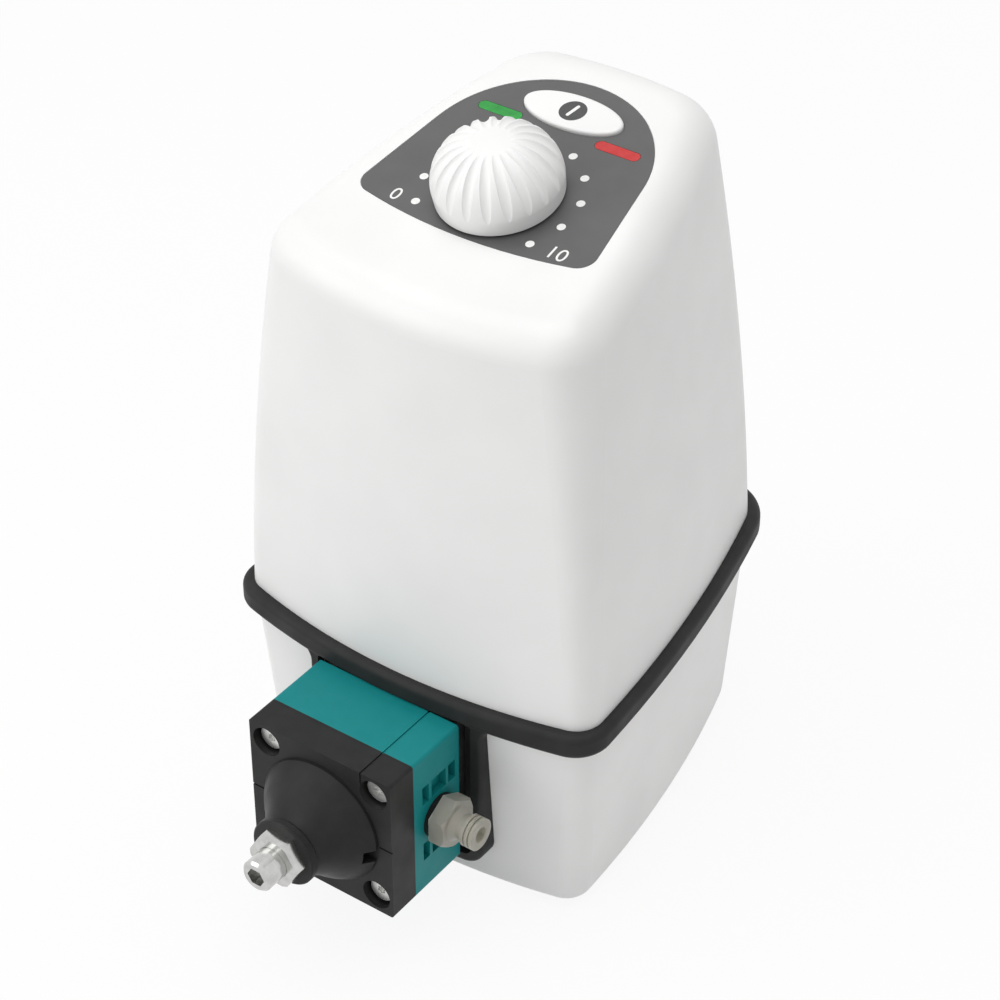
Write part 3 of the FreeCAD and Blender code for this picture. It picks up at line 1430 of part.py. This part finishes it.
pieces = {
    "upper_housing": make_upper_housing(),
    "lower_housing": make_lower_housing(),
    "bumper_frame": make_bumper_frame(),
    "rubber_feet": make_rubber_feet(),
    "housing_screws": make_housing_screws(),
    "control_foil": make_control_foil(),
    "standby_window": make_window(-1),
    "external_window": make_window(1),
    "power_key": make_power_key(),
    "key_switch": make_key_switch(),
    "speed_knob": make_speed_knob(),
    "potentiometer": make_potentiometer(),
    "potentiometer_shaft": make_potentiometer_shaft(),
    "potentiometer_nut": make_potentiometer_nut(),
    "control_board": make_control_board(),
    "control_board_screws": make_control_board_screws(),
    "relief_cover": make_relief_cover(),
    "head_block": make_head_block(),
    "head_screws": make_head_screws(),
    "hose_connector_outlet": make_hose_connector(1),
    "hose_connector_inlet": make_hose_connector(-1),
    "connector_seals": make_connector_seals(),
    "lock_nut": make_lock_nut(),
    "adjusting_screw": make_adjusting_screw(),
    "spring_seat": lying(spring_seat_radius, adjuster_inner_y, seat_back_y),
    "relief_spring": make_relief_spring(),
    "spring_plate": lying(spring_plate_radius, plate_front_y, block_front_y),
    "relief_diaphragm": lying(relief_diaphragm_radius, block_front_y,
                              block_front_y + relief_diaphragm_thickness),
    "valve_plate": make_valve_plate(),
    "intermediate_plate": make_intermediate_plate(),
    "working_diaphragm": make_working_diaphragm(),
    "diaphragm_core": make_diaphragm_core(),
    "connecting_rod": make_connecting_rod(),
    "rod_bearing": make_rod_bearing(),
    "eccentric": make_eccentric(),
    "counterweight": make_counterweight(),
    "motor_shaft": upright(shaft_radius, 0, crank_y, shaft_bottom_z, shaft_top_z),
    "crankcase": make_crankcase(),
    "end_cover": make_end_cover(),
    "end_cover_screws": make_end_cover_screws(),
    "shaft_bearings": make_shaft_bearings(),
    "rubber_dampers": make_rubber_dampers(),
    "motor_can": make_motor_can(),
    "stator": make_stator(),
    "stator_windings": make_stator_windings(),
    "rotor": make_rotor(),
    "motor_bearing": bearing(0, crank_y, motor_bearing_z),
    "motor_screws": make_motor_screws(),
    "supply_board": make_supply_board(),
    "supply_transformer": make_supply_transformer(),
    "supply_capacitors": make_supply_capacitors(),
    "heat_sink": make_heat_sink(),
    "mains_inlet": make_mains_inlet(),
    "control_socket": make_control_socket(),
}
for node, shape in pieces.items():
    save(node, shape)
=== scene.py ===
import bmesh
import bpy
import json
import math
from mathutils import Matrix, Vector


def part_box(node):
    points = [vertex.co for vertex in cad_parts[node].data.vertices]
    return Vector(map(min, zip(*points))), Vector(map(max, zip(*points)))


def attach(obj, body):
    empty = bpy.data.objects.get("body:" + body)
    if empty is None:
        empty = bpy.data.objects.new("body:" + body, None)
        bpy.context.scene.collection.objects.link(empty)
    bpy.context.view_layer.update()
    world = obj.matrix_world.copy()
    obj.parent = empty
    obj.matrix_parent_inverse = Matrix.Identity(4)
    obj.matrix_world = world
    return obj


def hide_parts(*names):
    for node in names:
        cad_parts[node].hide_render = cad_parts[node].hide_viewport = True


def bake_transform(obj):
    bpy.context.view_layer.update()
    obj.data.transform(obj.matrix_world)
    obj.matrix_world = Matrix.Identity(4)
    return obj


# Tabletop diaphragm pump for liquids. Sizes here are millimetres times mm, and places come
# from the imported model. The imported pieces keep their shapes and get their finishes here. The
# print on the panel and the coil of the relief spring are added.

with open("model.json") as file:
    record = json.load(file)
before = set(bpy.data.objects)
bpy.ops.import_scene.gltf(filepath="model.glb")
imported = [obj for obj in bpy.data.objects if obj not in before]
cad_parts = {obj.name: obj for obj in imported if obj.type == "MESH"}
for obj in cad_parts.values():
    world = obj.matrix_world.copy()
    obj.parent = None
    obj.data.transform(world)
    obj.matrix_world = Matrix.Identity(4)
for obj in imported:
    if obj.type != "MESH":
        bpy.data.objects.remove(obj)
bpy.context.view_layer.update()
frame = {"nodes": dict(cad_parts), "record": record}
mm = 0.001

# Middle of the feet, from which the camera's place is measured
screw_tip_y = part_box("adjusting_screw")[0].y
feet_middle = Vector((0, screw_tip_y + 160 * mm, 0))

# Camera, as it stood for the photograph
image_width_px = 1000
focal_px = 2850
sensor_width = 36.0
camera_yaw = 35.677
camera_elevation = 36.740
camera_place = feet_middle + Vector((463.578, -666.852, 717.323)) * mm

# Sloped panel round the dial. Its own frame has Z along the dial's axis, X to the right and
# Y up the slope. Heights are from the housing's surface there.
panel_slope = 13.4
dial_place = feet_middle + Vector((0, -21.1, 247.7)) * mm
foil_top = -0.1 * mm
key_top = 1.3 * mm
print_thickness = 0.05 * mm

# Dots and numbers round the dial, which turns this many degrees each way
dial_turn = 125.0
dot_circle = 27.6 * mm
dot_radius = 1.5 * mm
dot_sides = 32
dot_count = 11
number_height = 5.4 * mm
number_cap_share = 0.7
number_low_place = (-30.5 * mm, -16 * mm)
number_high_place = (33.0 * mm, -16 * mm)

# Symbol on the key: a disc with a leaning bar
key_along = 42.6 * mm
symbol_radius = 4.8 * mm
symbol_sides = 48
symbol_bar = (0.62 * mm, 3.1 * mm)
symbol_bar_end_steps = 8
symbol_lean = 13.0

# Spring of the relief valve
spring_turns = 5
spring_steps_per_turn = 36
spring_wire_radius = 0.7 * mm
spring_wire_sides = 12

# Noise of the finishes: most of it lies in this range, and the sheen changes in such patches
noise_low = 0.3
noise_high = 0.7
sheen_patch = 14 * mm

# Room: strengths are 1 for white, and lamps have a place and size in metres and a power in watts
room_strength = 0.525
table_size = 6.0
table_glow_share = 0.9
lamp_aim_height = 130 * mm
lamps = (
    ("lamp_above", (-0.1, -0.1, 1.5), (1.4, 1.4), 10.6),
    ("lamp_front_left", (-1.1, -1.4, 0.9), (1.2, 1.2), 9.7),
)


def linear(hex_colour):
    """sRGB hex to the linear colour that a shader takes."""
    colour = []
    for start in (1, 3, 5):
        channel = int(hex_colour[start:start + 2], 16) / 255
        if channel <= 0.04045:
            colour.append(channel / 12.92)
        else:
            colour.append(((channel + 0.055) / 1.055) ** 2.4)
    return colour + [1.0]


def add(tree, kind, values=None, **settings):
    """Add one node with its settings, and set or link its inputs."""
    node = tree.nodes.new(kind)
    for name, value in settings.items():
        setattr(node, name, value)
    for name, value in (values or {}).items():
        if isinstance(value, bpy.types.NodeSocket):
            tree.links.new(value, node.inputs[name])
        else:
            node.inputs[name].default_value = value
    return node


def finish_of(name, constants):
    """Start a material for one real finish and give back its tree, shader and place."""
    material = bpy.data.materials.new(name)
    material.use_nodes = True
    tree = material.node_tree
    shader = tree.nodes["Principled BSDF"]
    for socket, value in constants.items():
        shader.inputs[socket].default_value = value
    place = add(tree, "ShaderNodeTexCoord").outputs["Object"]
    return material, tree, shader, place


def mottle(tree, place, size, low, high, detail=2.0):
    """Noise of a real size, brought to the range from low to high."""
    noise = add(tree, "ShaderNodeTexNoise", {"Vector": place, "Scale": 1 / size,
                                             "Detail": detail})
    spread = add(tree, "ShaderNodeMapRange", {"Value": noise.outputs["Fac"],
                                              "From Min": noise_low, "From Max": noise_high,
                                              "To Min": low, "To Max": high})
    return spread.outputs["Result"]


def two_tone(tree, amount, first, second):
    """Colour between two tones by an amount."""
    mix = add(tree, "ShaderNodeMix", data_type="RGBA")
    mix.inputs[6].default_value = linear(first)
    mix.inputs[7].default_value = linear(second)
    tree.links.new(amount, mix.inputs[0])
    return mix.outputs[2]


def rough_and_bumpy(tree, shader, place, rough, grain, depth, detail=3.0):
    """Roughness that varies over centimetres, and a grain that stands up by a real depth."""
    patches = mottle(tree, place, sheen_patch, rough[0], rough[1])
    tree.links.new(patches, shader.inputs["Roughness"])
    noise = add(tree, "ShaderNodeTexNoise", {"Vector": place, "Scale": 1 / grain,
                                             "Detail": detail})
    bump = add(tree, "ShaderNodeBump", {"Height": noise.outputs["Fac"], "Distance": depth,
                                        "Strength": 1.0})
    tree.links.new(bump.outputs["Normal"], shader.inputs["Normal"])


def abs_moulded():
    # ABS moulded in a polished tool: satin white with a wide soft highlight and a faint
    # unevenness in the sheen. The grain of 0.4 mm is drawn at 1.2 mm so that it shows.
    material, tree, shader, place = finish_of("ABS moulded", {"IOR": 1.53})
    tone = mottle(tree, place, 40 * mm, 0, 1)
    colour = two_tone(tree, tone, "#F0F0EF", "#EBEBEA")
    tree.links.new(colour, shader.inputs["Base Color"])
    rough_and_bumpy(tree, shader, place, (0.36, 0.46), 1.2 * mm, 0.008 * mm)
    return material


def elastomer_moulded():
    # Thermoplastic elastomer moulded over the joint: dull black with a soft grey bloom.
    material, tree, shader, place = finish_of("Elastomer moulded", {"IOR": 1.5,
                                                                    "Specular IOR Level": 0.2})
    bloom = mottle(tree, place, 9 * mm, 0, 1, 4.0)
    colour = two_tone(tree, bloom, "#262626", "#2D2D2D")
    tree.links.new(colour, shader.inputs["Base Color"])
    rough_and_bumpy(tree, shader, place, (0.5, 0.64), 0.9 * mm, 0.02 * mm)
    return material


def polyester_foil():
    # Polyester foil, printed behind and matt in front: even dark grey, fine silky grain.
    material, tree, shader, place = finish_of("Polyester foil printed", {"IOR": 1.58})
    tone = mottle(tree, place, 12 * mm, 0, 1)
    colour = two_tone(tree, tone, "#4C4C4C", "#515151")
    tree.links.new(colour, shader.inputs["Base Color"])
    rough_and_bumpy(tree, shader, place, (0.46, 0.56), 0.7 * mm, 0.006 * mm)
    return material


def lens_tinted(name, tone):
    # Tinted acrylic lens: glossy and a little see-through, with its colour in depth.
    material, tree, shader, place = finish_of(name, {"IOR": 1.49, "Transmission Weight": 0.25})
    shade = mottle(tree, place, 3 * mm, 0, 1)
    colour = two_tone(tree, shade, tone[0], tone[1])
    tree.links.new(colour, shader.inputs["Base Color"])
    rough_and_bumpy(tree, shader, place, (0.12, 0.2), 1.0 * mm, 0.01 * mm)
    return material


def filled_plastic(name, tones, grain):
    # Glass-filled plastic moulded: the fibres leave a dry, slightly cloudy skin.
    material, tree, shader, place = finish_of(name, {"IOR": 1.55, "Specular IOR Level": 0.15})
    clouds = mottle(tree, place, 6 * mm, 0, 1, 4.0)
    colour = two_tone(tree, clouds, tones[0], tones[1])
    tree.links.new(colour, shader.inputs["Base Color"])
    rough_and_bumpy(tree, shader, place, (0.4, 0.52), grain, 0.018 * mm, 5.0)
    return material


def natural_fluoroplastic():
    # Unpigmented fluoroplastic turned from bar: milky and part see-through, grey-brown where
    # it is thick.
    material, tree, shader, place = finish_of("PVDF turned", {"IOR": 1.42,
                                                              "Transmission Weight": 0.55})
    depth = mottle(tree, place, 7 * mm, 0, 1)
    colour = two_tone(tree, depth, "#DDDACF", "#D0CCBF")
    tree.links.new(colour, shader.inputs["Base Color"])
    rough_and_bumpy(tree, shader, place, (0.3, 0.4), 0.8 * mm, 0.02 * mm)
    return material


def stainless_turned():
    # Stainless steel turned on a lathe: bright and nearly even, with clear reflections and
    # a fine grain drawn at 0.5 mm.
    material, tree, shader, place = finish_of("Stainless steel turned", {"Metallic": 1.0})
    tone = mottle(tree, place, 4 * mm, 0, 1)
    colour = two_tone(tree, tone, "#CFCFCD", "#BDBDBB")
    tree.links.new(colour, shader.inputs["Base Color"])
    rough_and_bumpy(tree, shader, place, (0.14, 0.24), 0.5 * mm, 0.002 * mm)
    return material


def stainless_tumbled_lightened():
    # Stainless steel, cold headed and tumbled: softer than the turned pieces, with a fine dull
    # grain drawn at 0.6 mm. Its paler colour is painted light that brightens heads in shaded
    # counterbores.
    material, tree, shader, place = finish_of("Stainless steel tumbled and lightened", {"Metallic": 1.0})
    tone = mottle(tree, place, 3 * mm, 0, 1)
    # Painted light: these pale tones lift the screw heads out of the shade of their counterbores
    colour = two_tone(tree, tone, "#F0F0EE", "#E2E2E0")
    tree.links.new(colour, shader.inputs["Base Color"])
    rough_and_bumpy(tree, shader, place, (0.34, 0.42), 0.6 * mm, 0.003 * mm)
    return material


def aluminium_cast():
    # Aluminium die cast: dull silver with a pebbled skin.
    material, tree, shader, place = finish_of("Aluminium die cast", {"Metallic": 1.0})
    tone = mottle(tree, place, 5 * mm, 0, 1, 4.0)
    colour = two_tone(tree, tone, "#B9BBBD", "#A9ABAD")
    tree.links.new(colour, shader.inputs["Base Color"])
    rough_and_bumpy(tree, shader, place, (0.4, 0.55), 1.0 * mm, 0.03 * mm)
    return material


def steel_coated():
    # Steel with a dark electrophoretic coat: smooth, slightly uneven gloss.
    material, tree, shader, place = finish_of("Steel coated", {"IOR": 1.5, "Metallic": 0.2})
    tone = mottle(tree, place, 8 * mm, 0, 1)
    colour = two_tone(tree, tone, "#3A3C40", "#323438")
    tree.links.new(colour, shader.inputs["Base Color"])
    rough_and_bumpy(tree, shader, place, (0.35, 0.5), 0.8 * mm, 0.015 * mm)
    return material


def copper_enamelled():
    # Enamelled copper wire of 0.6 mm wound in layers: warm metal with fine ridges, drawn at
    # 1.2 mm so that they show. Blender's wave turns 20 radians for each unit of its scale.
    material, tree, shader, place = finish_of("Copper wire enamelled", {"Metallic": 0.9,
                                                                        "Coat Weight": 0.5})
    ridge_scale = 2 * math.pi / (20 * 1.184 * mm)
    layers = add(tree, "ShaderNodeTexWave", {"Vector": place, "Scale": ridge_scale,
                                             "Distortion": 0.6}, bands_direction="Z")
    colour = two_tone(tree, layers.outputs["Fac"], "#B8692F", "#8E4A1E")
    tree.links.new(colour, shader.inputs["Base Color"])
    bump = add(tree, "ShaderNodeBump", {"Height": layers.outputs["Fac"],
                                        "Distance": 0.1 * mm})
    tree.links.new(bump.outputs["Normal"], shader.inputs["Normal"])
    patches = mottle(tree, place, 4 * mm, 0.3, 0.45)
    tree.links.new(patches, shader.inputs["Roughness"])
    return material


def laminate_etched():
    # Glass-epoxy laminate with solder mask: green with a faint cloth weave of 1 mm.
    material, tree, shader, place = finish_of("Circuit laminate", {"IOR": 1.55})
    weave = add(tree, "ShaderNodeTexChecker", {"Vector": place, "Scale": 1 / mm})
    colour = two_tone(tree, weave.outputs["Fac"], "#1B5A3A", "#175034")
    tree.links.new(colour, shader.inputs["Base Color"])
    rough_and_bumpy(tree, shader, place, (0.35, 0.45), 1.0 * mm, 0.01 * mm)
    return material


def ink_printed(name, tones):
    # Screen-printed ink: a thin matt layer with slightly uneven cover.
    material, tree, shader, place = finish_of(name, {"IOR": 1.5})
    cover = mottle(tree, place, 0.8 * mm, 0, 1)
    colour = two_tone(tree, cover, tones[0], tones[1])
    tree.links.new(colour, shader.inputs["Base Color"])
    rough_and_bumpy(tree, shader, place, (0.5, 0.6), 0.5 * mm, 0.005 * mm)
    return material


finishes = {
    "white_housing": abs_moulded(),
    "black_rubber": elastomer_moulded(),
    "foil": polyester_foil(),
    "green_window": lens_tinted("Acrylic lens green", ("#1F9E3A", "#2FB84C")),
    "red_window": lens_tinted("Acrylic lens red", ("#D92B2B", "#E84040")),
    "black_plastic": filled_plastic("PPS moulded", ("#232323", "#292929"), 0.9 * mm),
    "teal_plastic": filled_plastic("PP moulded", ("#118284", "#168587"), 1.1 * mm),
    "stainless": stainless_turned(),
    "natural_plastic": natural_fluoroplastic(),
    "seal_rubber": filled_plastic("FPM seal moulded", ("#1E1E1E", "#242424"), 0.8 * mm),
    "cast_aluminium": aluminium_cast(),
    "motor_steel": steel_coated(),
    "copper": copper_enamelled(),
    "board": laminate_etched(),
    "capacitor": filled_plastic("Capacitor sleeve shrunk", ("#1D2233", "#232840"), 1.0 * mm),
}
# Head screws get a paler stainless, which is painted light against the shade in their counterbores
screw_finish_lightened = stainless_tumbled_lightened()
white_ink = ink_printed("White ink", ("#F4F4F2", "#E8E8E6"))
grey_ink = ink_printed("Dark grey ink", ("#3C3C3C", "#444444"))


def dress_nodes():
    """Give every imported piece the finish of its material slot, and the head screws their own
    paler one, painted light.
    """
    for row in frame["record"]["subparts"]:
        piece = frame["nodes"][row["node"]]
        finish = finishes[row["material_slot"]]
        if row["node"] == "head_screws":
            finish = screw_finish_lightened
        piece.data.materials.clear()
        piece.data.materials.append(finish)


def to_panel(height, across=0.0, along=0.0):
    """Matrix from a flat drawing to a place on the slope, measured from the dial's axis."""
    return (Matrix.Translation(dial_place) @ Matrix.Rotation(math.radians(panel_slope), 4, "X")
            @ Matrix.Translation((across, along, height)))


def shaped(name, bm, finish):
    """Turn a finished bmesh into an object with its finish."""
    mesh = bpy.data.meshes.new(name)
    bm.to_mesh(mesh)
    bm.free()
    mesh.materials.append(finish)
    piece = bpy.data.objects.new(name, mesh)
    bpy.context.scene.collection.objects.link(piece)
    return piece


def printed(name, bm, finish, body):
    """Turn a finished bmesh into a piece of print that rides on a body."""
    piece = shaped(name, bm, finish)
    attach(piece, body)


def raised_outline(bm, points, matrix):
    """Thin closed prism over an outline, as thick as the print."""
    low = [bm.verts.new(matrix @ Vector((x, y, 0))) for x, y in points]
    high = [bm.verts.new(matrix @ Vector((x, y, print_thickness))) for x, y in points]
    bm.faces.new(high)
    bm.faces.new(low[::-1])
    for i in range(len(points)):
        j = (i + 1) % len(points)
        bm.faces.new((low[i], low[j], high[j], high[i]))


def circle_points(radius, count):
    """Points of a circle about the origin, counter-clockwise from the right."""
    points = []
    for i in range(count):
        angle = 2 * math.pi * i / count
        points.append((radius * math.cos(angle), radius * math.sin(angle)))
    return points


def print_dots():
    """Eleven white dots round the dial, from the lowest to the highest speed."""
    bm = bmesh.new()
    for index in range(dot_count):
        angle = math.radians(90 + dial_turn - 2 * dial_turn * index / (dot_count - 1))
        matrix = to_panel(foil_top, dot_circle * math.cos(angle), dot_circle * math.sin(angle))
        raised_outline(bm, circle_points(dot_radius, dot_sides), matrix)
    printed("dial_dots", bm, white_ink, "housing")


def print_number(name, text, place):
    """Plain number printed beside the first or the last dot."""
    curve = bpy.data.curves.new(name, "FONT")
    curve.body = text
    curve.size = number_height / number_cap_share
    curve.align_x = "CENTER"
    curve.align_y = "CENTER"
    curve.extrude = print_thickness / 2
    shape = bpy.data.objects.new(name + "_drawing", curve)
    bpy.context.scene.collection.objects.link(shape)
    bpy.context.view_layer.update()
    mesh = bpy.data.meshes.new_from_object(shape)
    bpy.data.objects.remove(shape)
    bm = bmesh.new()
    bm.from_mesh(mesh)
    bmesh.ops.transform(bm, matrix=to_panel(foil_top + print_thickness / 2, *place),
                        verts=bm.verts)
    printed(name, bm, white_ink, "housing")


def bar_points():
    """Points of the symbol's leaning bar with its round ends, counter-clockwise."""
    half_width, half_height = symbol_bar
    lean = math.radians(symbol_lean)
    points = []
    for end in (1, -1):
        middle = end * (half_height - half_width)
        for i in range(symbol_bar_end_steps + 1):
            angle = math.pi * i / symbol_bar_end_steps
            x = end * half_width * math.cos(angle)
            y = middle + end * half_width * math.sin(angle)
            points.append((x * math.cos(lean) + y * math.sin(lean),
                           y * math.cos(lean) - x * math.sin(lean)))
    return points


def print_key_symbol():
    """Dark disc on the key with a slanting bar left white."""
    bm = bmesh.new()
    raised_outline(bm, circle_points(symbol_radius, symbol_sides), to_panel(key_top, 0, key_along))
    printed("key_disc", bm, grey_ink, "key")
    bm = bmesh.new()
    raised_outline(bm, bar_points(), to_panel(key_top + print_thickness, 0, key_along))
    printed("key_bar", bm, white_ink, "key")


def wind_spring():
    """Coil spring of the relief valve, one end on its seat and the other on the plate."""
    low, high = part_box("relief_spring")
    middle = (low + high) / 2
    coil_radius = (high.x - low.x) / 2 - spring_wire_radius
    seat_y = low.y + spring_wire_radius
    length = high.y - low.y - 2 * spring_wire_radius
    steps = spring_turns * spring_steps_per_turn
    bm = bmesh.new()
    rings = []
    for step in range(steps + 1):
        turn = 2 * math.pi * step / spring_steps_per_turn
        outward = Vector((math.cos(turn), 0, math.sin(turn)))
        centre = Vector((middle.x, seat_y + length * step / steps, middle.z))
        ring = [bm.verts.new(centre + outward * (coil_radius + x) + Vector((0, y, 0)))
                for x, y in circle_points(spring_wire_radius, spring_wire_sides)]
        rings.append(ring)
    for first, second in zip(rings, rings[1:]):
        for i in range(spring_wire_sides):
            j = (i + 1) % spring_wire_sides
            bm.faces.new((first[i], first[j], second[j], second[i]))
    bm.faces.new(rings[0][::-1])
    bm.faces.new(rings[-1])
    bmesh.ops.recalc_face_normals(bm, faces=bm.faces)
    coil = shaped("relief_spring_coil", bm, finishes["stainless"])
    coil.data.shade_smooth()
    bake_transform(coil)
    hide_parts("relief_spring")


def lay_floor():
    """White table that shows as white and keeps the pump's soft shadow."""
    bpy.ops.mesh.primitive_plane_add(size=table_size)
    floor = bpy.context.object
    floor.name = "table_top"
    material = bpy.data.materials.new("Table top white")
    material.use_nodes = True
    tree = material.node_tree
    shader = tree.nodes["Principled BSDF"]
    shader.inputs["Base Color"].default_value = linear("#F2F2F2")
    shader.inputs["Roughness"].default_value = 0.8
    rays = add(tree, "ShaderNodeLightPath")
    seen = add(tree, "ShaderNodeMath", {0: rays.outputs["Is Camera Ray"],
                                        1: rays.outputs["Is Glossy Ray"]}, operation="ADD")
    seen = add(tree, "ShaderNodeMath", {0: seen.outputs[0],
                                        1: rays.outputs["Is Transmission Ray"]},
               operation="ADD")
    share = add(tree, "ShaderNodeMath", {0: seen.outputs[0], 1: table_glow_share},
                operation="MULTIPLY")
    share.use_clamp = True
    glow = add(tree, "ShaderNodeEmission", {"Color": linear("#FFFFFF"), "Strength": 1.0})
    mix = add(tree, "ShaderNodeMixShader", {0: share.outputs[0], 1: shader.outputs[0],
                                            2: glow.outputs[0]})
    tree.links.new(mix.outputs[0], tree.nodes["Material Output"].inputs["Surface"])
    floor.data.materials.append(material)


def light_room():
    """Even white room light with a soft source above and a wide one at the front left."""
    world = bpy.data.worlds.new("Studio")
    bpy.context.scene.world = world
    world.use_nodes = True
    tree = world.node_tree
    room = tree.nodes["Background"]
    room.inputs["Color"].default_value = linear("#FFFFFF")
    room.inputs["Strength"].default_value = room_strength
    seen = add(tree, "ShaderNodeBackground", {"Color": linear("#FFFFFF"), "Strength": 1.0})
    rays = add(tree, "ShaderNodeLightPath")
    either = add(tree, "ShaderNodeMath", {0: rays.outputs["Is Camera Ray"],
                                          1: rays.outputs["Is Glossy Ray"]},
                 operation="MAXIMUM")
    either = add(tree, "ShaderNodeMath", {0: either.outputs[0],
                                          1: rays.outputs["Is Transmission Ray"]},
                 operation="MAXIMUM")
    mix = add(tree, "ShaderNodeMixShader", {0: either.outputs[0], 1: room.outputs[0],
                                            2: seen.outputs[0]})
    tree.links.new(mix.outputs[0], tree.nodes["World Output"].inputs["Surface"])
    target = feet_middle + Vector((0, 0, lamp_aim_height))
    for name, place, size, power in lamps:
        lamp = bpy.data.lights.new(name, "AREA")
        lamp.shape = "RECTANGLE"
        lamp.size, lamp.size_y = size
        lamp.energy = power
        holder = bpy.data.objects.new(name, lamp)
        holder.location = Vector(place)
        holder.rotation_euler = (target - holder.location).to_track_quat("-Z", "Y").to_euler()
        bpy.context.scene.collection.objects.link(holder)


def set_camera():
    """Camera at the photograph's place and angle."""
    data = bpy.data.cameras.new("camera")
    data.sensor_width = sensor_width
    data.lens = focal_px * sensor_width / image_width_px
    data.clip_end = 20
    camera = bpy.data.objects.new("camera", data)
    camera.location = camera_place
    camera.rotation_euler = (math.radians(90 - camera_elevation), 0, math.radians(camera_yaw))
    bpy.context.scene.collection.objects.link(camera)
    bpy.context.scene.camera = camera
    bpy.context.scene.view_settings.view_transform = "Standard"


set_camera()
light_room()
lay_floor()
dress_nodes()
print_dots()
print_number("number_low", "0", number_low_place)
print_number("number_high", "10", number_high_place)
print_key_symbol()
wind_spring()
